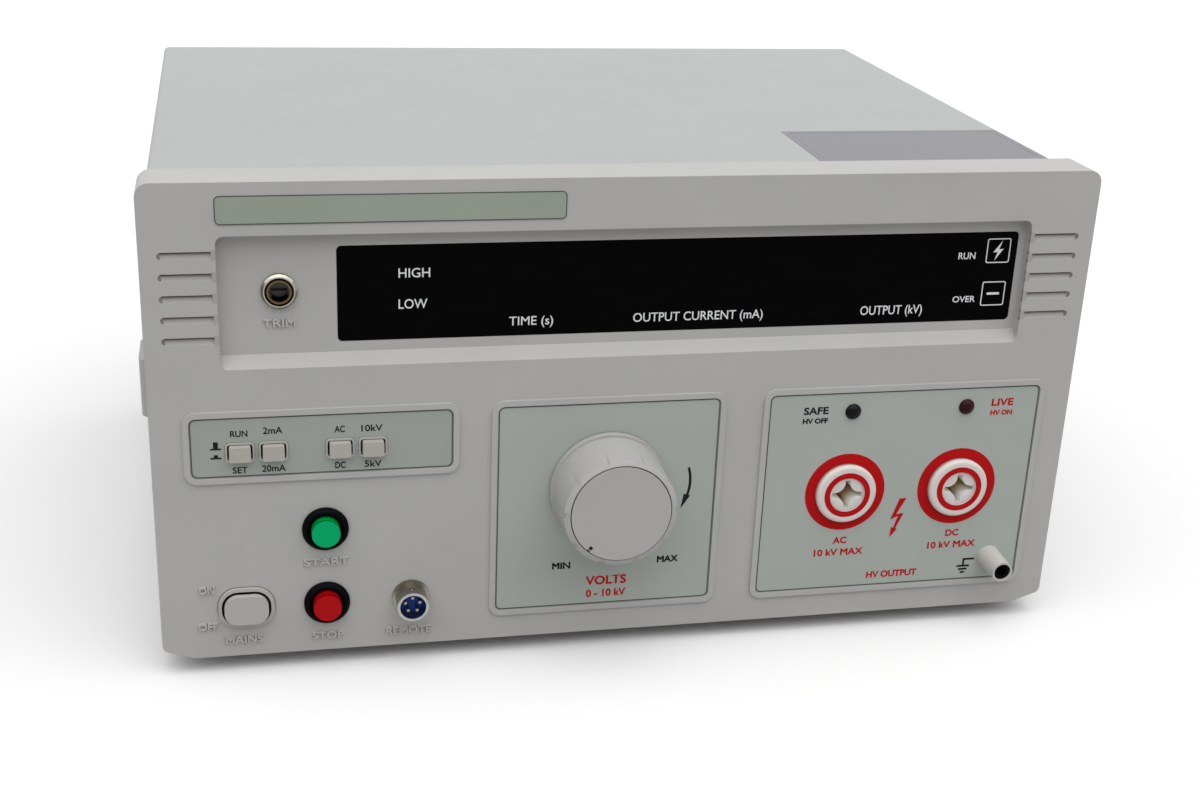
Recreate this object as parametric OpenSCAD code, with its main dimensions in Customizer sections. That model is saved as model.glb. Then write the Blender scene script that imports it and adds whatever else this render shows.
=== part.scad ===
// Bench withstand-voltage tester: a moulded front bezel on a steel case with a regulating transformer inside.
// Panel coordinates: x from the bezel's middle, y into the case from the front face,
// z up from the bezel's bottom edge.

/* [Case] */
// Width of the moulded front bezel
bezel_w = 360; // [350:1:400]
// Height of the moulded front bezel
bezel_h = 186; // [182:1:220]
// Depth of the bezel from its front face to the back edge of its skirt
bezel_d = 20; // [17:0.5:30]
// Thickness of the bezel's front wall
bezel_t = 3; // [2:0.1:4]
// Radius of the bezel's upper corners
corner_r = 5; // [3:0.5:8]
// Radius of the bezel's lower corners
toe_r = 3; // [2:0.5:4]
// Width of the slope under each lower corner
toe_run = 11.5; // [9:0.5:15]
// Height that the slope reaches at the bezel's side
toe_rise = 4; // [2:0.5:5]
// Depth of the case from the bezel's front face to the back edge of the cover
case_d = 280; // [270:1:340]
// Thickness of the sheet steel of the cover, tray and rear panel
sheet_t = 1.2; // [0.8:0.1:2]
// Step from the bezel's side in to the cover's side
cover_inset = 2.7; // [2.7:0.1:4]
// Step from the bezel's top down to the cover's top
cover_drop = 4; // [3:0.5:6]
// Bend radius of the cover's upper corners
cover_r = 2.5; // [2:0.5:4]
// Step from the bezel's bottom edge up to the underside of the tray
tray_lift = 7; // [6.5:0.5:9]
// Height of the tray's turned-up flanges
flange_h = 16; // [14:1:18]
// Side of the square rails under the cover's upper corners
rail_s = 10; // [8:0.5:12]

/* [Feet and handles] */
// Height of a rubber foot under the tray
foot_h = 14; // [10:1:20]
// Diameter of a foot at the tray
foot_d = 24; // [18:1:30]
// Distance of the feet in from the cover's sides
foot_in_x = 38; // [25:1:60]
// Distance of the front feet behind the front face, and of the rear feet before the back edge
foot_in_y = 48; // [40:1:70]
// Length of a side handle over its end caps
handle_len = 172; // [150:1:190]
// Height of the handles' middle above the bezel's bottom edge
handle_z = 86; // [70:1:100]
// Distance that the handles' end caps stand out from the cover
handle_out = 8.7; // [8.4:0.1:12]
// Gap for the fingers between the cover and the strap
finger_gap = 5.2; // [4.6:0.1:5.4]
// Width of the strap
strap_w = 20; // [16:1:26]
// Thickness of the strap
strap_t = 2.4; // [1.8:0.1:2.8]

/* [Display] */
// Width of the display recess
recess_w = 307.5; // [300:0.5:312]
// Height of the display recess at the front face
recess_h = 49.7; // [46:0.1:52]
// Distance from the bezel's top down to the recess
recess_drop = 19.3; // [17:0.1:24]
// Depth of the recess floor behind the front face
recess_depth = 5; // [4:0.1:6]
// Rise of the recess's sloped lower wall
recess_slope = 4; // [2:0.1:5]
// Width of the strip for the preset adjuster, left of the display window
preset_strip = 42.1; // [39:0.1:46]
// Height of the display window
window_h = 35.9; // [32:0.1:38]
// Thickness of the display window
window_t = 2; // [1.5:0.1:2.5]
// Distance of the window's right end from the recess's right end
window_in = 2.7; // [2:0.1:6]
// Number of grooves at each end of the recess
groove_count = 5; // [3:1:5]
// Height of a groove
groove_h = 2.7; // [2:0.1:4]
// Pitch of the grooves
groove_pitch = 7.9; // [6:0.1:9]
// Length of a groove beyond the recess's end
groove_len = 20; // [14:0.5:22]
// Depth of a groove
groove_depth = 1.3; // [0.8:0.1:1.6]

/* [Preset adjuster] */
// Distance of the adjuster from the recess's left end
preset_in = 21.5; // [20:0.1:23]
// Outside diameter of the adjuster's panel bush
preset_d = 13; // [11:0.1:14]
// Bore of the panel bush
preset_bore = 7.5; // [7.4:0.1:8.4]
// Diameter of the slotted shaft
preset_shaft_d = 6; // [5:0.1:6.4]
// Diameter of the potentiometer body
preset_pot_d = 17; // [15:0.1:18]

/* [Selector keys] */
// Width of the selector overlay
selector_w = 96; // [90:0.5:98]
// Height of the selector overlay
selector_h = 23.5; // [21:0.5:26]
// Height of the key row above the bezel's bottom edge
key_z = 85; // [82:0.5:88]
// Pitch of the keys
key_pitch = 12.1; // [12:0.1:13]
// Width of a key cap
key_w = 7.8; // [6:0.1:8.4]
// Height of a key cap
key_h = 5.8; // [5:0.1:7]
// Distance that a key stands out of the front face
key_out = 3.6; // [3:0.1:5]
// Travel of a key
key_travel = 2.5; // [1.5:0.1:2.8]

/* [Push buttons] */
// Distance of the button column in from the bezel's left side
column_in = 62; // [60:0.5:66]
// Height of the lower row of controls above the bezel's bottom edge
row_z = 20.8; // [20:0.1:22]
// Height of the start button above the lower row
start_rise = 31.3; // [26:0.1:33]
// Diameter of a button's ring
ring_d = 17.4; // [16.4:0.1:20]
// Diameter of a button's barrel
barrel_d = 14; // [13:0.1:15]
// Diameter of a button's cap
button_d = 10.6; // [9:0.1:11]
// Distance that a cap stands out of its ring
button_out = 3.5; // [3:0.1:6]
// Travel of a button
button_travel = 2.8; // [1.5:0.1:3]

/* [Power key] */
// Distance of the power key left of the button column
power_off = 30.2; // [29:0.1:32]
// Width of the power key's cap
power_w = 16.4; // [14:0.1:17]
// Height of the power key's cap
power_h = 12; // [11:0.1:13]
// Distance that the power key stands out of the front face
power_out = 3.5; // [3:0.1:5]
// Travel of the power key
power_travel = 3; // [2:0.1:3]

/* [Control connector] */
// Distance of the connector right of the button column
control_off = 32.1; // [30:0.1:34]
// Diameter of the connector's shell
control_d = 12; // [11:0.1:13]
// Distance that the shell stands out of the front face
control_out = 9; // [7:0.1:11]
// Number of contact pins
pin_count = 5; // [3:1:6]

/* [Voltage knob] */
// Width of the square overlay round the knob
adjust_w = 86.5; // [80:0.5:90]
// Height of the large overlays
overlay_h = 86; // [84:0.5:88]
// Height of the large overlays' middle above the bezel's bottom edge
overlay_z = 55.6; // [54:0.1:57]
// Position of the knob's axis across the bezel
knob_x = -9.7; // [-12:0.1:-6]
// Height of the knob's axis above the bezel's bottom edge
knob_z = 63.5; // [62:0.1:66]
// Diameter of the knob's base flange
knob_d = 46; // [42:0.5:50]
// Width of the slope round the knob's front
knob_slope_w = 1.9; // [1:0.1:2.5]
// Depth of the slope round the knob's front
knob_slope_h = 1; // [0.6:0.1:3.5]
// Distance that the knob stands out of the front face
knob_out = 25.5; // [23:0.1:30]
// Diameter of the disc in the knob's face
disc_d = 38.2; // [36:0.1:39]
// Number of finger grooves round the knob
flute_count = 10; // [6:1:14]
// Width of a finger groove
flute_w = 2.6; // [2:0.1:4]
// Length of a finger groove
flute_l = 10; // [7:0.5:13]
// Depth of a finger groove at the knob's front rim
flute_depth = 0.6; // [0.4:0.1:1]
// Clock angle of the knob's pointer at its lowest setting, measured from straight down
pointer_angle = 40; // [30:1:45]

/* [Output sockets] */
// Width of the output overlay
output_w = 113; // [110:0.5:114]
// Distance of the output overlay's middle in from the bezel's right side
output_in = 69.9; // [69:0.1:72]
// Distance between the two high-voltage sockets
socket_gap = 47.8; // [44:0.1:50]
// Diameter of a socket's flange
socket_d = 25; // [24.6:0.1:27]
// Distance that a socket's flange stands out of the overlay
socket_out = 3; // [2.5:0.1:4]
// Diameter of a socket's barrel
socket_barrel_d = 20; // [18.5:0.1:21]
// Diameter of the insert in a socket
insert_d = 14.1; // [13.8:0.1:15]
// Distance from the middle of the star opening to its tips
star_tip = 6.2; // [5.6:0.1:6.4]
// Half the width of the star opening's arms at their tips
star_end = 1.2; // [0.6:0.1:1.6]
// Distance from the middle of the star opening to its waist
star_waist = 3.2; // [3.1:0.1:3.6]
// Depth of the star opening
star_depth = 19; // [14:0.5:22]

/* [Earth post and lamps] */
// Distance of the earth post in from the bezel's right side
post_in = 25.9; // [25:0.1:28]
// Height of the earth post above the bezel's bottom edge
post_z = 22.4; // [22:0.1:25]
// Diameter of the earth post at the overlay
post_d = 10; // [9.4:0.1:11]
// Distance that the earth post stands out of the overlay
post_out = 14.5; // [10:0.1:18]
// Bore of the earth contact
contact_bore = 4; // [3.6:0.1:4.4]
// Diameter of a lamp's lens
lamp_d = 6.4; // [6:0.1:7.2]
// Height of the lamps above the bezel's bottom edge
lamp_z = 90.5; // [89:0.1:91.5]

/* [Regulating transformer] */
// Outside diameter of the wound ring
ring_core_d = 104; // [90:1:106]
// Bore of the wound ring
ring_core_bore = 52; // [44:1:60]
// Height of the wound ring along its axis
ring_core_h = 40; // [30:1:50]
// Distance of the wound ring behind the front face
ring_core_y = 50; // [49:0.5:56]
// Diameter of the shaft
shaft_d = 8; // [6:0.1:10]

/* [High-voltage transformer] */
// Width of the iron core
core_w = 120; // [110:1:125]
// Height of the iron core
core_h = 100; // [90:1:120]
// Thickness of the stack of laminations
core_stack = 50; // [40:1:60]
// Width of the core's outer limbs
core_limb = 20; // [16:0.5:22]
// Distance of the core's middle before the back edge of the cover
core_in = 105; // [95:1:115]

/* [Boards] */
// Thickness of the circuit boards
board_t = 1.6; // [1:0.1:2.4]
// Width of the main board
main_w = 88; // [80:1:92]
// Length of the main board
main_l = 150; // [120:1:170]
// Height of the standoffs under the main board
standoff_h = 10; // [8:0.5:15]

/* [Rear] */
// Distance of the mains inlet in from the cover's side
inlet_in = 62; // [56:0.5:70]
// Height of the inlet's middle above the bezel's bottom edge
inlet_z = 60; // [52:0.5:80]
// Width of the inlet's flange
inlet_w = 31; // [30:0.5:34]
// Height of the inlet's flange
inlet_h = 50; // [48:0.5:54]
// Length of the earth stud outside the rear panel
stud_out = 14; // [12:0.5:20]
// Diameter of the earth stud
stud_d = 5; // [4:0.1:6]

/* [Hidden] */
$fn = 64;

// Clearances: round a piece in its opening, round a turning or screwed piece, and past a cut
fit = 0.3;
slip = 0.05;
cut = 1;

// Case, worked out from its outside
bezel_hw = bezel_w / 2;
cover_hw = bezel_hw - cover_inset;
cover_top = bezel_h - cover_drop;
skin_x = cover_hw - sheet_t;
floor_z = tray_lift + sheet_t;
ceiling_z = cover_top - sheet_t;
cover_gap = 3;
cover_y = bezel_t + cover_gap;
rear_in = case_d - sheet_t;
bend_min = 0.5;
skirt_t = 2.7;
toe_a = atan(toe_rise / toe_run);
toe_z = (toe_run - toe_r) * tan(toe_a) + toe_r / cos(toe_a);

// Bosses on the bezel's back, with the tray's tabs and the rails' tabs screwed to them
boss_y = 12;
boss_d = 8;
boss_in = 9;
front_tab_w = 10;
mid_boss_off = adjust_w / 2 + 10;
boss_xs = [-bezel_hw + boss_in, knob_x - mid_boss_off, knob_x + mid_boss_off, bezel_hw - boss_in];
rail_x = skin_x - cover_r - rail_s / 2;
rail_z = ceiling_z - rail_s / 2;
tab_w = 8;
tab_t = 2;
tab_x = rail_x - rail_s / 2 - tab_w / 2;

// Screws of the case, one kind throughout
screw_d = 4;
screw_l = 5;
screw_head_d = 7.5;
screw_head_h = 2.4;
screw_edge = 0.8;
screw_hole = screw_d + 2 * slip;
boss_z = floor_z + screw_head_d / 2 + fit;
front_tab_h = boss_z - tray_lift + screw_head_d / 2 + fit;
side_screw_ys = [40, case_d / 2, case_d - 24];
side_screw_z = tray_lift + flange_h / 2;
rear_screw_in = 20;
rear_screw_xs = [-skin_x + rear_screw_in, -skin_x / 3, skin_x / 3, skin_x - rear_screw_in];

// Louvres in the cover's sides
louvre_count = 9;
louvre_w = 3;
louvre_h = 23;
louvre_pitch = 8;
louvre_in = 40;
louvre_y = case_d - louvre_in;
louvre_top = cover_top - 30;

// Feet and handles
foot_x = cover_hw - foot_in_x;
foot_ys = [foot_in_y, case_d - foot_in_y];
foot_taper = 3;
foot_web = 3;
foot_well_d = screw_head_d + 2.5;
handle_y = case_d / 2 + 10;
cap_l = 26;
cap_w = strap_w + 4;
cap_end_r = 4;
cap_nose_r = 2;
cap_screw_y = cap_l / 2;
strap_end = 4;
strap_play = 0.1;

// Display
recess_top = bezel_h - recess_drop;
recess_z = recess_top - recess_h / 2;
recess_r = 3;
pan_y = recess_depth + bezel_t;
window_w = recess_w - window_in - preset_strip;
window_x = recess_w / 2 - window_in - window_w / 2;
window_z = recess_z + 1.1;
window_r = 1.8;
window_lip = 2;
groove_z = window_z + 1.2;
digit_size = [38, 19];
digit_xs = [-65, -3, 74];
digit_up = 3;
digit_t = 8;
arrow_size = [6, 4];
arrow_in = 18;
arrow_off = 6;
signal_size = [9, 9];
signal_in = 11;
signal_off = 9;
display_board_y = pan_y + fit + digit_t;
display_boss_x = window_w / 2 - 12;
display_boss_z = window_h / 2 + boss_d / 2 + fit;
display_board_w = window_w + 4;
display_board_h = 2 * display_boss_z + boss_d;

// Preset adjuster
preset_x = -recess_w / 2 + preset_in;
preset_z = window_z + 2;
preset_ring = 2.4;
preset_edge = 0.8;
preset_sink = 4;
preset_front = recess_depth - preset_ring;
preset_slot_w = 1.2;
preset_slot_depth = 1.5;
preset_wall = 0.7;
preset_barrel_d = preset_bore + 2 * preset_wall;
preset_groove = 1.4;
preset_groove_part = 0.65;
preset_pot_y = pan_y + 7;
preset_pot_l = 9;
preset_tags = [10, 1.2, 8];
preset_tags_in = 2;

// Selector keys
column_x = -bezel_hw + column_in;
key_in = 17.75;
key_xs = [for (i = [0, 1, 3, 4]) column_x - selector_w / 2 + key_in + i * key_pitch];
selector_z = key_z + 2;
rim_w = 2.4;
rim_h = 1;
overlay_t = 0.5;
overlay_r = 2.5;
key_r = 0.7;
key_gap = 0.7;
collar = 0.7;
collar_h = 1.3;
key_back = bezel_t + 3;
key_stem = 3.2;
key_stem_in = 4;
switch_y = key_back + key_travel + 1.5;
switch_l = 20;
stem_l = switch_y - key_back + key_stem_in;
key_well = key_stem_in + key_travel + 3;
switch_w = key_pitch - 3.5;
switch_h = switch_w + 2;
selector_board_y = switch_y + switch_l;
selector_boss_x = selector_w / 2 - boss_d / 2 - 1;

// Solder tags of the switches and buttons
tag_t = 0.8;
tag_w = 2.4;
tag_l = 6;

// Push buttons
start_z = row_z + start_rise;
ring_out = 2.2;
ring_edge = 1;
ring_dish = 1.3;
ring_dish_depth = 1.2;
button_back = 6;
button_stem = 3;
lens_t = 0.7;
lens_gap = 0.9;
lens_in = 0.8;
button_well = button_back + button_stem + button_travel + 1.2;
barrel_l = button_well + 8;
button_tag_x = 3.5;
nut_h = 3;
nut_rim = 4;

// Power key
power_x = column_x - power_off;
power_r = power_h / 2 - 0.8;
power_rim = 2.3;
power_gap = 0.6;
power_back = bezel_t + 4;
power_stem = 4.4;
power_stem_l = power_travel + 6;
power_switch_y = power_back + power_travel + 2;
power_switch_l = 26;
power_flange = 2;
power_flange_h = screw_head_d + 0.5;
power_well = power_stem_l + power_travel;
power_boss_x = power_w / 2 + boss_d / 2 + 1.2;
power_tag_x = 4;
power_tag_z = 3;

// Control connector
control_x = column_x + control_off;
control_bore = control_d - 2;
control_flange = 1.6;
control_flange_d = control_d + 2.6;
control_l = 12;
control_well = 6;
dimple_d = 1.6;
dimple_in = 3.4;
pin_d = 1.2;
pin_circle_r = 2.9;
pin_in = 2;
pin_l = control_l + 9;

// Voltage knob
adjust_x = knob_x;
knob_gap = 0.6;
knob_back = -(overlay_t + knob_gap);
knob_flange = 2.6;
knob_step = 1;
knob_rim = 0.3;
knob_lip = 0.3;
knob_wall = 3;
hub_wall = 4;
hub_d = shaft_d + 2 * hub_wall;
disc_gap = 0.4;
disc_t = 2.2;
notch_w = 1.6;
notch_l = 2.2;
notch_depth = 1;
knob_seat = -(knob_out - disc_t);
knob_head_seat = knob_seat + screw_head_h + 0.2;
knob_screw_l = 8;
knob_screw_run = 2;
shaft_front = knob_seat + 6;
shaft_hole_d = shaft_d + 2;

// Regulating transformer
winding_r = 6;
wiper_gap = 12;
wiper_y = ring_core_y - wiper_gap;
wiper_r = (ring_core_d + ring_core_bore) / 4;
wiper_hub_wall = 7;
wiper_hub_d = shaft_d + 2 * wiper_hub_wall;
wiper_hub_l = 8;
wiper_w = 12;
wiper_t = 4;
wiper_tail = 18;
wiper_arm_y = wiper_y + 2;
brush_y = wiper_arm_y + wiper_t;
brush_w = 8;
brush_l = 10;
bracket_y = ring_core_y + ring_core_h;
bracket_t = 3;
bracket_rise = 42;
bracket_foot = 30;
bracket_screw_in = 18;
bracket_screw_y = bracket_y + bracket_screw_in;
gusset_h = 60;
bush_wall = 4;
bush_d = shaft_d + 2 * bush_wall;
bush_nut_h = 5;
bush_nut_rim = 8;
bush_end = bracket_y + bracket_t + bush_nut_h + 1;
shaft_end = bush_end + 3;
clamp_lap = 3;
clamp_t = 4;
clamp_d = ring_core_bore + 2 * clamp_lap;
clamp_back = ring_core_y + winding_r - sqrt(winding_r ^ 2 - (winding_r - clamp_lap) ^ 2) - slip;

// Output sockets
output_x = bezel_hw - output_in;
socket_mid = output_x + 1.8;
socket_xs = [socket_mid - socket_gap / 2, socket_mid + socket_gap / 2];
socket_z = overlay_z;
socket_l = 42;
socket_end = 6;
socket_stop = socket_l - socket_end - overlay_t;
socket_nut_h = 5;
socket_nut_rim = 7;
insert_back = star_depth + 4;
insert_sink = 0.3;
insert_front = -overlay_t - socket_out + insert_sink;
contact_way_d = contact_bore + 1;
contact_floor = 2;
hv_contact_d = 8;
tail_d = 4.8;
tail_l = 8;

// Earth post and lamps
post_x = bezel_hw - post_in;
post_tip_d = post_d - 1.4;
post_bore = 7;
post_barrel_d = 8.4;
post_l = 16;
earth_sink = 0.8;
earth_floor = 4;
lamp_flange = 0.7;
lamp_barrel_d = lamp_d - 2 * lamp_flange;
lamp_rim = 0.5;
lamp_dome = 1.8;
lamp_l = 12;

// High-voltage transformer and rectifier
core_gap = 10;
core_x = skin_x - core_gap - core_w / 2;
core_y = case_d - core_in;
core_window = (core_w - 4 * core_limb) / 2;
core_foot = 14;
core_foot_t = 3;
coil_gap = 1;
coil_r = 8;
rectifier_size = [70, 36, 34];
rectifier_y = socket_l + 32;
ear_l = 12;
ear_t = 3;
terminal_x = 22;
terminal_d = 14;
terminal_h = 10;
terminal_pin_d = 5;
terminal_pin_h = 18;

// Main board and its parts
main_gap = 10;
main_x = -skin_x + main_gap + main_w / 2;
main_y = case_d / 2;
standoff_d = 8;
standoff_in = 6;
relay_size = [13, 22, 16];
relay_count = 4;
relay_pitch = 27;
relay_in = 10;
capacitor_d = 18;
capacitor_h = 30;
capacitor_ys = [-42, -18];
supply_size = [34, 40, 30];
supply_y = 18;

// Rear panel
inlet_x = -cover_hw + inlet_in;
inlet_flange = 2.5;
inlet_r = 2;
inlet_body_w = inlet_w - 4;
inlet_body_h = inlet_h - 4;
inlet_l = 28;
inlet_back = case_d + inlet_flange;
mouth_w = 24.6;
mouth_h = 16.8;
mouth_depth = 17;
mouth_up = 10;
mouth_chamfer = 5;
blade_size = [2, 4];
blade_pitch = 7;
blade_step = 2;
blade_tail = 8;
drawer_size = [20, 10];
drawer_lip = 1;
drawer_down = 13;
drawer_l = 22;
stud_off = 45;
stud_drop = 16;
stud_x = inlet_x + stud_off;
stud_z = inlet_z - stud_drop;
stud_in = 14;
stud_shank_d = stud_d + 1;
vent_count = 14;
vent_w = 4;
vent_h = 46;
vent_r = vent_w / 2 - slip;
vent_pitch = 8.8;
vent_x = skin_x - 36;
vent_z = cover_top - 34 - vent_h / 2;

// The whole stands on its feet with its middle over the origin
front_y = (knob_out - case_d - stud_out) / 2;
stand_h = foot_h - tray_lift;

module place() {
    translate([0, front_y, stand_h]) children();
}

// Rounded rectangle
module rounded(w, h, r) {
    square([w - 2 * r, h], center = true);
    square([w, h - 2 * r], center = true);
    for (sx = [-1, 1], sy = [-1, 1])
        translate([sx * (w / 2 - r), sy * (h / 2 - r)]) circle(r);
}

// Flat outline in x and z, made solid from depth y over thickness t
module slab(y, t) {
    translate([0, y + t, 0]) rotate([90, 0, 0]) linear_extrude(t) children();
}

// Flat outline in y and z, made solid from x over width w
module across(x, w) {
    translate([x, 0, 0]) rotate([90, 0, 90]) linear_extrude(w) children();
}

// Round bar along y
module rod(d, y, l) {
    translate([0, y, 0]) rotate([-90, 0, 0]) cylinder(d = d, h = l);
}

// Solid turned about y from a profile of radius and depth
module turned() {
    rotate([-90, 0, 0]) rotate_extrude() children();
}

// Hexagonal nut along y, with its rim's width across the flats beyond its bore
module hex_nut(bore, rim, y, h) {
    difference() {
        translate([0, y, 0]) rotate([-90, 0, 0]) cylinder(d = (bore + rim) / cos(30), h = h, $fn = 6);
        rod(bore + 2 * slip, y - cut, h + 2 * cut);
    }
}

// Flat tag behind a switch, standing on its back at depth y
module tag(x, y, z) {
    translate([x - tag_t / 2, y - cut, z - tag_w / 2]) cube([tag_t, tag_l + cut, tag_w]);
}

// Place on the panel
module at(x, z) {
    translate([x, 0, z]) children();
}

// Both sides of the case
module both_sides() {
    for (side = [0, 1]) mirror([side, 0, 0]) children();
}

// Outline of the bezel: upper corners round, lower corners on a slope
module bezel_outline() {
    toe = [bezel_hw - toe_r + toe_r * sin(toe_a), toe_z - toe_r * cos(toe_a)];
    half = [[0, 0], [bezel_hw - toe_run, 0], toe, [bezel_hw, toe_z], [bezel_hw, bezel_h - corner_r],
            [bezel_hw - corner_r, bezel_h], [0, bezel_h]];
    for (side = [0, 1]) mirror([side, 0]) {
        polygon(half);
        translate([bezel_hw - toe_r, toe_z]) circle(toe_r);
        translate([bezel_hw - corner_r, bezel_h - corner_r]) circle(corner_r);
    }
}

// Section of the cover's sheet, open below
module cover_outline(grow) {
    w = 2 * (cover_hw + grow);
    top = cover_top + grow;
    r = max(cover_r + grow, bend_min);
    low = tray_lift - max(grow, 0);
    translate([0, (low + top - r) / 2]) square([w, top - r - low], center = true);
    translate([0, top - r / 2]) square([w - 2 * r, r], center = true);
    for (sx = [-1, 1]) translate([sx * (w / 2 - r), top - r]) circle(r);
}

module overlay_rim(x, z, w, h) {
    at(x, z) slab(-rim_h, rim_h + cut) rounded(w + 2 * rim_w, h + 2 * rim_w, overlay_r + rim_w);
}

module overlay_seat(x, z, w, h) {
    at(x, z) slab(-rim_h - cut, rim_h + cut) rounded(w + fit, h + fit, overlay_r);
}

module overlay_sheet(x, z, w, h) {
    at(x, z) slab(-overlay_t, overlay_t) rounded(w, h, overlay_r);
}

// Round hole through an overlay
module overlay_hole(x, z, d) {
    at(x, z) rod(d + fit, -overlay_t - cut, overlay_t + 2 * cut);
}

// Outlines of a selector key's opening, the power key and the display window, grown by a margin
module key_opening(grow) {
    rounded(key_w + 2 * (key_gap + grow), key_h + 2 * (fit + grow), key_r + fit + grow);
}

module power_outline(grow) {
    rounded(power_w + 2 * grow, power_h + 2 * grow, power_r + grow);
}

module window_outline(grow) {
    rounded(window_w + 2 * grow, window_h + 2 * grow, window_r);
}

// Boss on the back of the bezel from depth y to its end, and the hole for its screw
module boss(y, end) {
    rod(boss_d, y - cut, end - y + cut);
}

module boss_hole(end) {
    rod(screw_hole, end - screw_l, screw_l + cut);
}

module display_bosses() {
    for (sx = [-1, 1], sz = [-1, 1])
        at(window_x + sx * display_boss_x, window_z + sz * display_boss_z) children();
}

module selector_bosses() {
    for (sx = [-1, 1]) at(column_x + sx * selector_boss_x, selector_z) children();
}

module power_bosses() {
    for (sx = [-1, 1]) at(power_x + sx * power_boss_x, row_z) children();
}

module case_bosses() {
    for (x = boss_xs) at(x, boss_z) children();
    for (sx = [-1, 1]) at(sx * tab_x, rail_z) children();
}

// Pocket of the display with a sloped lower wall
module recess() {
    deep = recess_depth + cut;
    difference() {
        at(0, recess_z) slab(-cut, deep) rounded(recess_w, recess_h, recess_r);
        at(0, recess_z - recess_h / 2) across(-recess_w / 2, recess_w)
            polygon([[-cut, -cut], [0, 0], [recess_depth, recess_slope], [deep, recess_slope], [deep, -cut]]);
    }
}

module grooves() {
    straight = groove_len - groove_h / 2;
    for (i = [0 : groove_count - 1], sx = [-1, 1])
        at(sx * recess_w / 2, groove_z + (i - (groove_count - 1) / 2) * groove_pitch)
            slab(-cut, groove_depth + cut) {
                translate([sx * (straight - recess_r) / 2, 0])
                    square([straight + recess_r, groove_h], center = true);
                translate([sx * straight, 0]) circle(d = groove_h);
            }
}

module bezel_holes() {
    start = -rim_h - collar_h - cut;
    through = bezel_t + cut - start;
    for (x = key_xs) at(x, key_z) slab(start, through) key_opening(0);
    for (z = [row_z, start_z]) at(column_x, z) rod(barrel_d + fit, start, through);
    at(power_x, row_z) slab(start, through) power_outline(power_gap);
    at(control_x, row_z) rod(control_d + fit, start, through);
    at(knob_x, knob_z) rod(shaft_hole_d, start, through);
    for (x = socket_xs) at(x, socket_z) rod(socket_barrel_d + fit, start, through);
    for (x = socket_xs) at(x, lamp_z) rod(lamp_barrel_d + fit, start, through);
    at(post_x, post_z) rod(post_barrel_d + fit, start, through);
    at(preset_x, preset_z) rod(preset_barrel_d + fit, start, pan_y + cut - start);
}

module front_bezel() color([0.86, 0.85, 0.82]) difference() {
    union() {
        difference() {
            slab(0, bezel_d) bezel_outline();
            slab(bezel_t, bezel_d) cover_outline(fit);
            translate([-bezel_hw + toe_run + skirt_t, bezel_t, skirt_t])
                cube([bezel_w - 2 * (toe_run + skirt_t), bezel_d, tray_lift]);
        }
        at(0, recess_z) slab(0, pan_y)
            rounded(recess_w + 2 * bezel_t, recess_h + 2 * bezel_t, recess_r + bezel_t);
        overlay_rim(column_x, selector_z, selector_w, selector_h);
        overlay_rim(adjust_x, overlay_z, adjust_w, overlay_h);
        overlay_rim(output_x, overlay_z, output_w, overlay_h);
        at(power_x, row_z) slab(-collar_h, collar_h + cut) power_outline(power_rim);
        display_bosses() boss(pan_y, display_board_y);
        selector_bosses() boss(bezel_t, selector_board_y);
        power_bosses() boss(bezel_t, power_switch_y);
        case_bosses() boss(bezel_t, boss_y);
    }
    overlay_seat(adjust_x, overlay_z, adjust_w, overlay_h);
    overlay_seat(output_x, overlay_z, output_w, overlay_h);
    difference() {
        overlay_seat(column_x, selector_z, selector_w, selector_h);
        for (x = key_xs) at(x, key_z) slab(-collar_h - cut, collar_h + 2 * cut) key_opening(collar);
    }
    recess();
    grooves();
    at(window_x, window_z) slab(recess_depth - cut, window_t + cut) window_outline(fit / 2);
    at(window_x, window_z) slab(recess_depth, bezel_t + cut) window_outline(-window_lip);
    bezel_holes();
    display_bosses() boss_hole(display_board_y);
    selector_bosses() boss_hole(selector_board_y);
    power_bosses() boss_hole(power_switch_y);
    case_bosses() boss_hole(boss_y);
}

module top_cover() color([0.88, 0.89, 0.88]) difference() {
    slab(cover_y, case_d - cover_y) difference() {
        cover_outline(0);
        cover_outline(-sheet_t);
        translate([-skin_x, 0]) square([2 * skin_x, ceiling_z - cover_r]);
    }
    for (y = side_screw_ys) translate([-cover_hw - cut, y, side_screw_z]) rotate([0, 90, 0])
        cylinder(d = screw_hole, h = 2 * (cover_hw + cut));
    cap_places() translate([-sheet_t - cut, cap_screw_y, 0]) rotate([0, 90, 0])
        cylinder(d = screw_hole, h = sheet_t + 2 * cut);
    for (i = [0 : louvre_count - 1])
        translate([-cover_hw - cut, louvre_y - i * louvre_pitch, louvre_top - louvre_h])
            cube([2 * (cover_hw + cut), louvre_w, louvre_h]);
}

// Screw holes straight down through the tray's floor, and through a plate that stands on it
module floor_hole() {
    translate([0, 0, tray_lift - cut]) cylinder(d = screw_hole, h = sheet_t + 2 * cut);
}

module plate_hole(t) {
    translate([0, 0, floor_z - cut]) cylinder(d = screw_hole, h = t + 2 * cut);
}

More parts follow.
